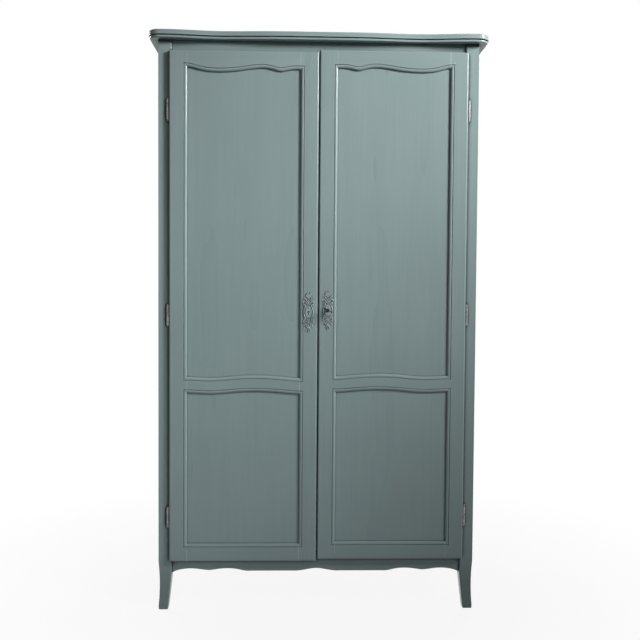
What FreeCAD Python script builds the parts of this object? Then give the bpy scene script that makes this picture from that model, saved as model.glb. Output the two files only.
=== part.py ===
import FreeCAD, Part
import math
import os
import re

import Sketcher
from FreeCAD import Placement, Rotation, Vector

# A painted two-door wardrobe with serpentine door panels, a moulded cornice
# board and shaped front legs, at its real size. The row stands on the floor
# with +Z up, +X to the viewer's right and the doors facing -Y.

SIZES = {
    # Carcase
    "case_width": 1103,
    "case_depth": 530,
    "case_height": 1972,
    "post_width": 46,
    "post_depth": 44,
    "post_round": 4.5,
    "rail_thickness": 22,
    "tenon_thickness": 7,
    "tenon_length": 18,
    "tenon_shoulder": 7,
    # Shaped legs, one piece with the posts
    "leg_top": 172,
    "knee_height": 132,
    "ankle_height": 66,
    "sole_height": 10,
    "ankle_outer_inset": 4,
    "ankle_inner_inset": 6.5,
    "sole_inner_inset": 12.5,
    "leg_rear_taper": 11,
    "leg_heel_share": 0.7,
    "toe_kick": 3,
    "rear_leg_taper": 8,
    # Front rails
    "top_rail_height": 72,
    "apron_base": 133,
    "apron_top": 200,
    "apron_crest": 9,
    "apron_dip": 2.5,
    "apron_corner_drop": 5.5,
    # Doors
    "door_head_gap": 31,
    "door_sill_lap": 19,
    "door_proud": 15,
    "door_inset": 8,
    "door_seat_gap": 0.5,
    "door_overlap": 7.8,
    "door_side_clearance": 2,
    "door_gap": 3,
    "lip_clearance": 0.5,
    "door_drop": 7,
    "door_round": 5.5,
    "stile_width": 62,
    # Moulding stuck on the frame's inner edges, and the groove behind it
    "moulding_width": 12.5,
    "quirk_width": 2.4,
    "quirk_depth": 2,
    "bead_drop": 0.8,
    "bead_toe": 5.5,
    "bead_radius": 8.5,
    "panel_recess": 9,
    "panel_thickness": 6,
    "panel_play": 0.1,
    "groove_depth": 9,
    "panel_end_gap": 0.9,
    "rail_lead": 20,
    "door_tenon_length": 28,
    "door_tenon_shoulder": 3,
    "door_tenon_haunch": 9,
    # Rails of the doors
    "bottom_rail_height": 62,
    "mid_rail_height": 56,
    "mid_rail_centre": 618,
    "top_rail_outer": 55,
    "top_rail_shoulder": 65.5,
    "top_rail_trough": 71,
    "top_rail_slope": 63.5,
    "top_rail_crest": 56.5,
    "top_rail_fall": 61.5,
    "top_rail_dip": 67,
    "top_rail_rise": 63,
    "top_rail_inner": 60,
    "mid_wave_crest": 5,
    "mid_wave_trough": 4.3,
    "mid_wave_outer": 1.4,
    "mid_wave_slope": 2.7,
    # Cornice board
    "cornice_thickness": 28,
    "cornice_overhang": 30,
    "cornice_side_overhang": 32.5,
    "cornice_corner": 38,
    "cornice_centre_hollow": 5,
    "cornice_quarter_hollow": 7,
    "cornice_hollow": 13,
    "cornice_ear": 3,
    "cornice_fascia": 17,
    "cornice_quirk": 3.5,
    "cornice_quirk_inset": 6,
    "cornice_bead_inset": 2.5,
    "cornice_round": 5,
    "cornice_bead_round_share": 0.45,
    # Side and back frames
    "side_recess": 6,
    "side_top_rail_height": 78,
    "side_mid_rail_height": 70,
    "side_bottom_rail_top": 232,
    "side_arch_rise": 12,
    "side_arch_shoulder_reach_share": 0.34,
    "side_arch_shoulder_rise_share": 0.25,
    "side_panel_thickness": 8,
    "back_rail_thickness": 20,
    "back_bottom_rail_base": 150,
    "back_muntin_width": 64,
    "back_panel_thickness": 6,
    # Inside
    "floor_board_top": 196,
    "floor_board_thickness": 16,
    "floor_board_tongue": 6,
    "shelf_drop": 320,
    "shelf_thickness": 18,
    "shelf_set_back": 52,
    "shelf_end_gap": 0.5,
    "cleat_thickness": 18,
    "cleat_height": 68,
    "cleat_lap": 30,
    "rail_radius": 12.5,
    "rail_play": 0.25,
    "rail_below_shelf": 40,
    "socket_wall": 3,
    "socket_depth": 14,
    "socket_flange_radius": 25,
    "socket_flange": 3,
    "socket_screw_circle": 20.5,
    # Hinges
    "hinge_below_head": 199,
    "hinge_above_foot": 153,
    "hinge_length": 78,
    "hinge_radius": 4.6,
    "hinge_pin_radius": 2.4,
    "hinge_pin_play": 0.06,
    "hinge_pin_length": 26,
    "hinge_joint_gap": 0.3,
    "hinge_tip": 5,
    "hinge_tip_radius": 2.6,
    "hinge_tip_neck_share": 0.7,
    "hinge_tip_end_share": 0.6,
    "hinge_set_off": 0.15,
    "hinge_wing_thickness": 2,
    "hinge_wing_depth": 24,
    "hinge_wing_height": 30,
    # Lock, key and strike
    "keyhole_height": 871.5,
    "keyhole_backset": 32,
    "keyhole_radius": 3.6,
    "keyhole_slot": 3.4,
    "keyhole_slot_drop": 13.2,
    "lock_width": 56,
    "lock_height": 84,
    "lock_depth": 13,
    "lock_wall": 2,
    "lock_round_share": 0.8,
    "lock_set_back": 1.5,
    "lock_flange": 14,
    "lock_screw_inset": 9,
    "guide_thickness": 2.5,
    "guide_length": 8,
    "bolt_lift": 13,
    "bolt_height": 14,
    "bolt_thickness": 7,
    "bolt_throw": 11,
    "bolt_play": 0.3,
    "bolt_length": 50,
    "bolt_talon_start": 24.5,
    "bolt_talon_width": 4.5,
    "bolt_talon_drop": 4,
    "bolt_back_talon": 44.5,
    "key_radius": 3,
    "key_hole_play": 0.06,
    "key_end_gap": 0.5,
    "key_bit_reach": 12,
    "key_bit_width": 3,
    "key_bit_length": 6,
    "key_projection": 38,
    "key_bow_width": 34,
    "key_bow_length": 24,
    "key_bow_band": 5,
    "key_bow_corner": 8,
    "key_bow_thickness": 3.6,
    "key_collar_radius": 4.6,
    "key_collar_length": 3,
    "key_slant": 25,
    "strike_wall": 2,
    "strike_depth": 20,
    "strike_flange": 14,
    # Slide bolts on the back of the left door
    "slide_bolt_radius": 4,
    "slide_bolt_play": 0.08,
    "slide_bolt_length": 120,
    "slide_bolt_throw": 14,
    "slide_bolt_tip_gap": 2,
    "slide_bolt_stand_off": 10,
    "slide_bolt_backset": 38,
    "slide_case_width": 34,
    "slide_screw_spread": 11.8,
    "slide_screw_inset": 8,
    "slide_case_height": 84,
    "slide_case_wall": 2.5,
    "slide_knob_radius": 5,
    "slide_knob_stem": 2.2,
    "slide_slot_width_share": 1.2,
    "slide_slot_end_share": 1.3,
    "slide_knob_reach": 9,
    "slide_knob_head": 4,
    "keeper_length": 36,
    "keeper_width": 17,
    "keeper_thickness": 2,
    "keeper_play": 0.6,
    "keeper_screw_spread": 13,
    # Escutcheons
    "escutcheon_height": 147,
    "escutcheon_width": 43,
    "escutcheon_thickness": 1.6,
    "escutcheon_boss_height": 30,
    "escutcheon_boss_width": 15,
    "escutcheon_boss": 2,
    # Countersunk wood screws
    "screw_head_radius": 3.2,
    "screw_head_depth": 2,
    "screw_radius": 1.6,
    "screw_length": 14,
    "cleat_screw_head_radius": 4,
    "cleat_screw_head_depth": 2.5,
    "cleat_screw_radius": 2.2,
    "cleat_screw_length": 40,
    "cleat_screw_inset": 15,
    "cleat_screw_rear_share": 0.8,
    # How far a cutting shape runs past what it cuts
    "overrun": 5,
    "same_place": 0.02,
    # A half-round end is drawn with a radius this much over half its width
    "half_round_share": 1.0005,
}

# Sizes that follow from the ones above
DERIVED = {
    "half_case": "case_width / 2",
    "post_inner": "half_case - post_width",
    "front_reach": "door_proud + key_projection",
    "front_y": "(front_reach - case_depth) / 2",
    "back_y": "front_y + case_depth",
    "door_thickness": "door_proud + door_inset",
    "door_face_y": "front_y - door_proud",
    "door_back_y": "front_y + door_inset",
    "rail_face_y": "door_back_y + door_seat_gap",
    "rail_back_y": "rail_face_y + rail_thickness",
    "door_outer": "post_inner + door_overlap",
    "door_inner": "door_gap / 2",
    "right_door_base": "apron_top - door_sill_lap",
    "left_door_base": "right_door_base - door_drop",
    "door_height": "case_height - door_head_gap - right_door_base",
    "sight_outer": "door_outer - stile_width",
    "sight_inner": "door_inner + stile_width",
    "sight_width": "sight_outer - sight_inner",
    "groove_width": "panel_thickness + 2 * panel_play",
    "panel_edge": "groove_depth - panel_end_gap",
    "top_rail_base": "case_height - top_rail_height",
    "cornice_half": "half_case + cornice_side_overhang",
    "cornice_front_y": "front_y - cornice_overhang",
    "cornice_quirk_top": "case_height + cornice_thickness - cornice_fascia",
    "cornice_bead_top": "cornice_quirk_top - cornice_quirk",
    "side_outer": "half_case - side_recess",
    "side_inner": "side_outer - rail_thickness",
    "side_front_y": "front_y + post_depth",
    "side_back_y": "back_y - post_depth",
    "side_mid_base": "left_door_base + mid_rail_centre - side_mid_rail_height / 2",
    "side_top_base": "case_height - side_top_rail_height",
    "side_panel_outer": "side_outer - (rail_thickness - side_panel_thickness) / 2",
    "back_face_y": "back_y - back_rail_thickness",
    "back_panel_y": "back_face_y + (back_rail_thickness - back_panel_thickness) / 2",
    "floor_board_base": "floor_board_top - floor_board_thickness",
    "shelf_top": "case_height - shelf_drop",
    "shelf_base": "shelf_top - shelf_thickness",
    "cleat_inner": "post_inner - cleat_thickness",
    "hanging_rail_z": "shelf_base - rail_below_shelf",
    "hanging_rail_y": "(side_front_y + side_back_y) / 2",
    "hinge_x": "door_outer + hinge_radius + hinge_set_off",
    "hinge_y": "front_y - hinge_radius - hinge_set_off",
    "hinge_top": "case_height - door_head_gap - hinge_below_head",
    "hinge_bottom": "right_door_base + hinge_above_foot",
    "keyhole_x": "door_inner + keyhole_backset",
    "keyhole_z": "right_door_base + keyhole_height",
    "left_keyhole_z": "left_door_base + keyhole_height",
    "lock_x": "door_inner + lock_set_back",
    "lock_back_y": "door_back_y + lock_depth",
    "bolt_y": "door_back_y + (lock_depth - lock_wall - bolt_thickness) / 2",
    "slide_bolt_x": "-door_inner - slide_bolt_backset",
    "slide_bolt_y": "door_back_y + slide_bolt_stand_off",
    "slide_case_radius": "slide_bolt_radius + slide_case_wall",
    "bow_half_width": "key_bow_width / 2",
    "bow_half_length": "key_bow_length / 2",
    "bow_reach": "bow_half_width - key_bow_corner",
    "bow_drop": "bow_half_length - key_bow_corner",
    "bow_rise": "(bow_reach ^ 2 - bow_drop ^ 2) / (2 * bow_drop)",
    "bow_radius": "bow_half_length + bow_rise",
    "bow_centre": "-(key_projection - bow_half_length)",
    "upper_bolt_tip": "top_rail_base - slide_bolt_tip_gap",
    "lower_bolt_tip": "apron_top + slide_bolt_tip_gap",
}

# Places along the waves, as shares of the sight width from the hinge side to the meeting side
TOP_WAVE_SHARES = (
    (0, "top_rail_outer"),
    (0.12, "top_rail_shoulder"),
    (0.28, "top_rail_trough"),
    (0.50, "top_rail_slope"),
    (0.67, "top_rail_crest"),
    (0.755, "top_rail_fall"),
    (0.82, "top_rail_dip"),
    (0.88, "top_rail_rise"),
    (0.93, "top_rail_inner"),
    (1, "top_rail_inner"),
)
MID_WAVE_SHARES = (
    (0, "-mid_wave_outer"),
    (0.22, "-mid_wave_trough"),
    (0.45, "mid_wave_slope"),
    (0.62, "mid_wave_crest"),
    (0.77, "mid_wave_slope"),
    (1, "-mid_wave_trough"),
)
# Front of the top board from its corners to the middle: share of the straight reach, hollow there
CORNICE_WAVE_SHARES = ((0.86, "cornice_ear"), (0.67, "cornice_hollow"), (0.36, "cornice_quarter_hollow"))
# Apron edge from the post to the centre: share of the half width, share of the crest
APRON_END_SHARES = ((1, 0), (0.96, 0.35), (0.915, 0.85), (0.87, 1), (0.82, 0.8), (0.775, 0.45))
APRON_SCALLOP_SHARES = ((0.70, 0.6), (0.65, 0.95), (0.605, 1), (0.555, 0.75), (0.51, 0.2), (0.46, 0))
APRON_CENTRE_SHARES = (
    (0.16, 0), (0.10, 0.2), (0.045, 0.75), (0, 1), (-0.045, 0.75), (-0.10, 0.2), (-0.16, 0),
)
APRON_DIP_SHARE = 0.74

document = FreeCAD.newDocument("Wardrobe")
sheet = document.addObject("Spreadsheet::Sheet", "Sizes")
for row, (alias, size) in enumerate(list(SIZES.items()) + [(k, "=" + v) for k, v in DERIVED.items()], 1):
    sheet.set(f"A{row}", alias)
    sheet.set(f"B{row}", str(size))
    sheet.setAlias(f"B{row}", alias)
document.recompute()

nodes = {}


def value(formula):
    """The number that a formula of named sizes comes to."""
    return float(sheet.evalExpression(str(formula)))


def bind(thing, name, formula):
    """Tie one property to a formula of the sheet's named sizes."""
    def qualify(match):
        word = match.group()
        return f"Sizes.{word}" if word in SIZES or word in DERIVED else word
    thing.setExpression(name, re.sub(r"[a-z][a-z_0-9]*", qualify, str(formula)))


def node(name, thing):
    """Name a finished sub-part, which gets a file of its own."""
    thing.Label = name
    nodes[name] = thing
    return thing


def block(name, x, y, z):
    """A squared block between two planes on each axis, each pair given low and high."""
    box = document.addObject("Part::Box", name)
    for axis, side, (low, high) in zip("xyz", ("Length", "Width", "Height"), (x, y, z)):
        bind(box, side, f"({high}) - ({low})")
        bind(box, f"Placement.Base.{axis}", low)
    return box


def rod(name, radius, length, place, direction=Vector(0, 0, 1)):
    """A round bar from a place along a direction."""
    bar = document.addObject("Part::Cylinder", name)
    bind(bar, "Radius", radius)
    bind(bar, "Height", length)
    bar.Placement = Placement(Vector(), Rotation(Vector(0, 0, 1), direction))
    for axis, where in zip("xyz", place):
        bind(bar, f"Placement.Base.{axis}", where)
    return bar


def fuse(name, things):
    joined = document.addObject("Part::MultiFuse", name)
    joined.Shapes = things
    joined.Refine = True
    return joined


def cut(name, base, tools):
    """Take one or more shapes out of a base."""
    result = document.addObject("Part::Cut", name)
    result.Base = base
    result.Tool = tools[0] if len(tools) == 1 else fuse(name + "_tools", tools)
    return result


def common(name, base, tool):
    result = document.addObject("Part::Common", name)
    result.Base = base
    result.Tool = tool
    return result


def bundle(name, things):
    """Separate solids kept together."""
    together = document.addObject("Part::Compound", name)
    together.Links = things
    return together


def group(name, things):
    """Solids of one kind that share a node."""
    return node(name, bundle(name, things))


def copy_of(thing, name, x="0", y="0", z="0", rotation=Rotation()):
    """A further copy of a finished shape at another place."""
    link = document.addObject("App::Link", name)
    link.LinkedObject = thing
    link.LinkTransform = False
    link.Placement = Placement(Vector(), rotation)
    for axis, where in zip("xyz", (x, y, z)):
        bind(link, f"Placement.Base.{axis}", where)
    return link


def new_body(name):
    return document.addObject("PartDesign::Body", name)


def origin_part(body, role):
    return next(part for part in body.Origin.OriginFeatures if part.Role == role)


def new_sketch(body, name, plane, offset="0"):
    """A sketch on one of the body's own origin planes, moved along its normal."""
    sketch = body.newObject("Sketcher::SketchObject", name)
    sketch.AttachmentSupport = [(origin_part(body, plane), "")]
    sketch.MapMode = "FlatFace"
    bind(sketch, "AttachmentOffset.Base.z", offset)
    return sketch


def arc_between(start, end, radius, towards):
    """An arc through two points that bulges towards a direction, and whether it runs backwards."""
    middle = (start + end) * 0.5
    chord = end - start
    normal = Vector(-chord.y, chord.x, 0).normalize()
    if normal.dot(towards) < 0:
        normal = normal * -1
    rise = math.sqrt(max(radius ** 2 - (chord.Length / 2) ** 2, 0))
    centre = middle - normal * rise
    begin = math.atan2(start.y - centre.y, start.x - centre.x)
    finish = math.atan2(end.y - centre.y, end.x - centre.x)
    backwards = (start - centre).cross(end - centre).z < 0
    if backwards:
        begin, finish = finish, begin
    circle = Part.Circle(centre, Vector(0, 0, 1), radius)
    return Part.ArcOfCircle(circle, begin, finish), backwards


def draw(sketch, path):
    """Close a loop of lines, arcs and splines, each corner tied to its two formulas.

    An item is (x, y), or (x, y, how), where how is the edge that leaves the corner:
    ("arc", radius, towards) or ("spline", points).
    """
    first = sketch.GeometryCount
    corners = [Vector(value(item[0]), value(item[1]), 0) for item in path]
    ends = []
    radii = []
    for index, item in enumerate(path):
        start, end = corners[index], corners[(index + 1) % len(path)]
        how = item[2] if len(item) > 2 else ("line",)
        backwards = False
        if how[0] == "arc":
            edge, backwards = arc_between(start, end, value(how[1]), how[2])
            radii.append((first + index, how[1]))
        elif how[0] == "spline":
            edge = Part.BSplineCurve()
            edge.interpolate([start] + list(how[1]) + [end])
        else:
            edge = Part.LineSegment(start, end)
        sketch.addGeometry(edge)
        ends.append((2, 1) if backwards else (1, 2))
    for index in range(len(path)):
        after = (index + 1) % len(path)
        sketch.addConstraint(
            Sketcher.Constraint("Coincident", first + index, ends[index][1], first + after, ends[after][0])
        )
    for index, item in enumerate(path):
        for kind, formula, number in zip(("DistanceX", "DistanceY"), item, corners[index]):
            which = sketch.addConstraint(
                Sketcher.Constraint(kind, -1, 1, first + index, ends[index][0], number)
            )
            bind(sketch, f"Constraints[{which}]", formula)
    for geometry, radius in radii:
        which = sketch.addConstraint(Sketcher.Constraint("Radius", geometry, value(radius)))
        bind(sketch, f"Constraints[{which}]", radius)
    return sketch


def draw_circle(sketch, x, y, radius):
    """A circle tied to its centre and radius formulas."""
    place = Vector(value(x), value(y), 0)
    ring = sketch.addGeometry(Part.Circle(place, Vector(0, 0, 1), value(radius)))
    for kind, formula, number in (("DistanceX", x, place.x), ("DistanceY", y, place.y)):
        which = sketch.addConstraint(Sketcher.Constraint(kind, -1, 1, ring, 3, number))
        bind(sketch, f"Constraints[{which}]", formula)
    which = sketch.addConstraint(Sketcher.Constraint("Radius", ring, value(radius)))
    bind(sketch, f"Constraints[{which}]", radius)
    return sketch


def rectangle(x, y):
    """The four corners of an upright rectangle, each side given low and high."""
    return [(x[0], y[0]), (x[1], y[0]), (x[1], y[1]), (x[0], y[1])]


def extrude(body, kind, sketch, length, name, both_ways=False):
    """A pad or pocket whose depth follows the sheet."""
    feature = body.newObject(f"PartDesign::{kind}", name)
    feature.Profile = sketch
    bind(feature, "Length", length)
    if both_ways:
        feature.Midplane = True
    return feature


def turn(body, sketch, axis, name):
    """A full turn of a profile about one of its sketch's axes."""
    feature = body.newObject("PartDesign::Revolution", name)
    feature.Profile = sketch
    feature.ReferenceAxis = (sketch, [axis])
    feature.Angle = 360
    return feature


def sweep(body, section, spine, name):
    """A section carried along a curve without turning."""
    pipe = body.newObject("PartDesign::AdditivePipe", name)
    pipe.Profile = section
    pipe.Spine = (spine, ["Edge1"])
    pipe.Mode = "Fixed"
    return pipe


def soften(body, feature, radius, chosen, name):
    """Round the edges of a feature that a test chooses."""
    document.recompute()
    names = [f"Edge{n}" for n, edge in enumerate(feature.Shape.Edges, 1) if chosen(edge)]
    if not names:
        raise RuntimeError(f"no edge to round in {body.Name}")
    fillet = body.newObject("PartDesign::Fillet", name)
    fillet.Base = (feature, names)
    bind(fillet, "Radius", radius)
    return fillet


def lies_at(edge, axis, formula):
    """Whether a whole edge keeps one coordinate."""
    wanted = value(formula)
    places = [getattr(vertex.Point, axis) for vertex in edge.Vertexes]
    middle = edge.valueAt((edge.FirstParameter + edge.LastParameter) / 2)
    places.append(getattr(middle, axis))
    return all(abs(place - wanted) < value("same_place") for place in places)


# Countersunk wood screws


def screw(name, size):
    """A screw about its own axis: its head's face at height 0, its point below."""
    body = new_body(name)
    profile = new_sketch(body, f"{name}_profile", "XZ_Plane")
    draw(profile, [
        ("0", "0"),
        (f"{size}_head_radius", "0"),
        (f"{size}_radius", f"-{size}_head_depth"),
        (f"{size}_radius", f"-({size}_length - 2 * {size}_radius)"),
        ("0", f"-{size}_length"),
    ])
    turn(body, profile, "V_Axis", f"{name}_turned")
    return body


def screw_at(name, place, facing, kind=None):
    """A screw whose head looks in a direction from a place."""
    return copy_of(kind or wood_screw, name, *place, Rotation(Vector(0, 0, 1), facing))


def screwed_on(name, fitting, screws):
    """A fitting with a countersunk hole for each of its screws."""
    return node(name, cut(name, fitting, [bundle(f"{name}_screws", screws)]))


# Posts with shaped legs


def leg_outline(sign):
    """The front view of a front post: straight above the knee, a toe that turns out below."""
    outer = f"{sign} * half_case"
    inner = f"{sign} * post_inner"

    def across(inset):
        return value(f"{sign} * (half_case - {inset})")

    def inwards(inset):
        return value(f"{sign} * (post_inner + {inset})")
    ankle_out = [Vector(across("ankle_outer_inset"), value("ankle_height"), 0)]
    ankle_in = [Vector(inwards("ankle_inner_inset"), value("ankle_height"), 0)]
    return [
        (outer, "case_height"),
        (outer, "leg_top", ("spline", ankle_out)),
        (outer, "sole_height"),
        (f"{sign} * (half_case - toe_kick / 2)", "0"),
        (f"{sign} * (post_inner + sole_inner_inset + toe_kick / 2)", "0"),
        (f"{sign} * (post_inner + sole_inner_inset)", "sole_height", ("spline", ankle_in)),
        (inner, "knee_height"),
        (inner, "case_height"),
    ]


def front_post_blank(side, sign):
    body = new_body(f"front_post_{side}_blank")
    sketch = new_sketch(body, f"post_outline_{side}", "XZ_Plane", "-(front_y + post_depth)")
    draw(sketch, leg_outline(sign))
    post = extrude(body, "Pad", sketch, "post_depth", f"post_{side}")
    front = soften(
        body, post, "post_round",
        lambda edge: lies_at(edge, "y", "front_y") and lies_at(edge, "x", f"{sign} * post_inner"),
        f"post_round_{side}",
    )
    taper = new_sketch(body, f"leg_taper_outline_{side}", "YZ_Plane", f"{sign} * half_case")
    heel = [Vector(value("front_y + post_depth - leg_rear_taper * leg_heel_share"), value("ankle_height"), 0)]
    draw(taper, [
        ("front_y + post_depth + overrun", "knee_height"),
        ("front_y + post_depth", "knee_height", ("spline", heel)),
        ("front_y + post_depth - leg_rear_taper", "sole_height"),
        ("front_y + post_depth - leg_rear_taper - toe_kick / 2", "0"),
        ("front_y + post_depth - leg_rear_taper - toe_kick / 2", "-overrun"),
        ("front_y + post_depth + overrun", "-overrun"),
    ])
    heel_cut = extrude(body, "Pocket", taper, "2 * post_width + 2 * overrun", f"leg_taper_{side}", True)
    body.Tip = heel_cut
    return body


def rear_post_blank(side, sign):
    """A square post whose foot tapers on its inner side."""
    body = new_body(f"rear_post_{side}_blank")
    sketch = new_sketch(body, f"rear_post_outline_{side}", "XZ_Plane", "-back_y")
    draw(sketch, [
        (f"{sign} * half_case", "case_height"),
        (f"{sign} * half_case", "0"),
        (f"{sign} * (post_inner + rear_leg_taper)", "0"),
        (f"{sign} * post_inner", "knee_height"),
        (f"{sign} * post_inner", "case_height"),
    ])
    extrude(body, "Pad", sketch, "post_depth", f"rear_post_{side}")
    return body


# Rails, panels and boards of the carcase


def tenoned(name, rail, x, y, z):
    """A rail and the tenons at its ends, cut from one board: the core runs past both shoulders."""
    return fuse(name, [rail, block(name + "_tenons", x, y, z)])


def apron_blank():
    """The board under the doors, with its scalloped lower edge."""
    def run(shares, sign):
        return [
            Vector(sign * share * value("post_inner"), value(f"apron_base + {height} * apron_crest"), 0)
            for share, height in shares
        ]

    def corner(share, rise="0"):
        return f"{share} * post_inner", f"apron_base + {rise}"
    body = new_body("front_apron_board")
    sketch = new_sketch(body, "apron_outline", "XZ_Plane", "-rail_back_y")
    ends, scallops = APRON_END_SHARES[1:], APRON_SCALLOP_SHARES[:-1]
    inner, middle = APRON_SCALLOP_SHARES[-1][0], APRON_CENTRE_SHARES[0][0]
    draw(sketch, [
        ("post_inner", "apron_top"),
        (*corner(1, "-apron_corner_drop"), ("spline", run(ends, 1))),
        (*corner(APRON_DIP_SHARE, "apron_dip"), ("spline", run(scallops, 1))),
        corner(inner),
        (*corner(middle), ("spline", run(APRON_CENTRE_SHARES[1:-1], 1))),
        corner(-middle),
        (*corner(-inner), ("spline", run(scallops, -1)[::-1])),
        (*corner(-APRON_DIP_SHARE, "apron_dip"), ("spline", run(ends, -1)[::-1])),
        corner(-1, "-apron_corner_drop"),
        ("-post_inner", "apron_top"),
    ])
    extrude(body, "Pad", sketch, "rail_thickness", "apron_board")
    return body


def side_bottom_blank(side, sign):
    """The lowest side rail, arched a little along its lower edge."""
    body = new_body(f"side_bottom_rail_{side}_board")
    low = "side_inner" if sign > 0 else "-side_outer"
    sketch = new_sketch(body, f"side_arch_{side}", "YZ_Plane", low)
    middle = value("(side_front_y + side_back_y) / 2")
    reach = value("(side_back_y - side_front_y) * side_arch_shoulder_reach_share")
    shoulder = value("apron_base + side_arch_rise * side_arch_shoulder_rise_share")
    arch = [
        Vector(middle - reach, shoulder, 0),
        Vector(middle, value("apron_base + side_arch_rise"), 0),
        Vector(middle + reach, shoulder, 0),
    ]
    draw(sketch, [
        ("side_front_y", "side_bottom_rail_top"),
        ("side_front_y", "apron_base", ("spline", arch)),
        ("side_back_y", "apron_base"),
        ("side_back_y", "side_bottom_rail_top"),
    ])
    extrude(body, "Pad", sketch, "rail_thickness", f"side_arch_board_{side}")
    return body


def side_frame(side, sign):
    """Three rails and two panels that close one side, between the posts."""
    def across(low, high):
        return (low, high) if sign > 0 else (f"-({high})", f"-({low})")
    rail_x = across("side_inner", "side_outer")
    core = "(rail_thickness - tenon_thickness) / 2"
    tenon_x = across(f"side_inner + {core}", f"side_outer - {core}")
    tenon_y = ("side_front_y - tenon_length", "side_back_y + tenon_length")
    panel_x = across("side_panel_outer - side_panel_thickness", "side_panel_outer")
    panel_y = ("side_front_y - panel_edge", "side_back_y + panel_edge")
    lower = block(
        f"side_lower_panel_{side}", panel_x, panel_y,
        ("side_bottom_rail_top - panel_edge", "side_mid_base + panel_edge"),
    )
    upper = block(
        f"side_upper_panel_{side}", panel_x, panel_y,
        ("side_mid_base + side_mid_rail_height - panel_edge", "side_top_base + panel_edge"),
    )
    spans = {
        "bottom": ("apron_base + side_arch_rise", "side_bottom_rail_top"),
        "mid": ("side_mid_base", "side_mid_base + side_mid_rail_height"),
        "top": ("side_top_base", "case_height"),
    }
    rails = []
    for place, (low, high) in spans.items():
        if place == "bottom":
            board = side_bottom_blank(side, sign)
        else:
            board = block(
                f"side_{place}_rail_{side}_board", rail_x, ("side_front_y", "side_back_y"), (low, high),
            )
        rail = tenoned(
            f"side_{place}_rail_{side}_blank", board, tenon_x, tenon_y,
            (f"{low} + tenon_shoulder", f"{high} - tenon_shoulder"),
        )
        rails.append((f"side_{place}_rail_{side}", rail))
    return rails, [node(f"side_lower_panel_{side}", lower), node(f"side_upper_panel_{side}", upper)]


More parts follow.
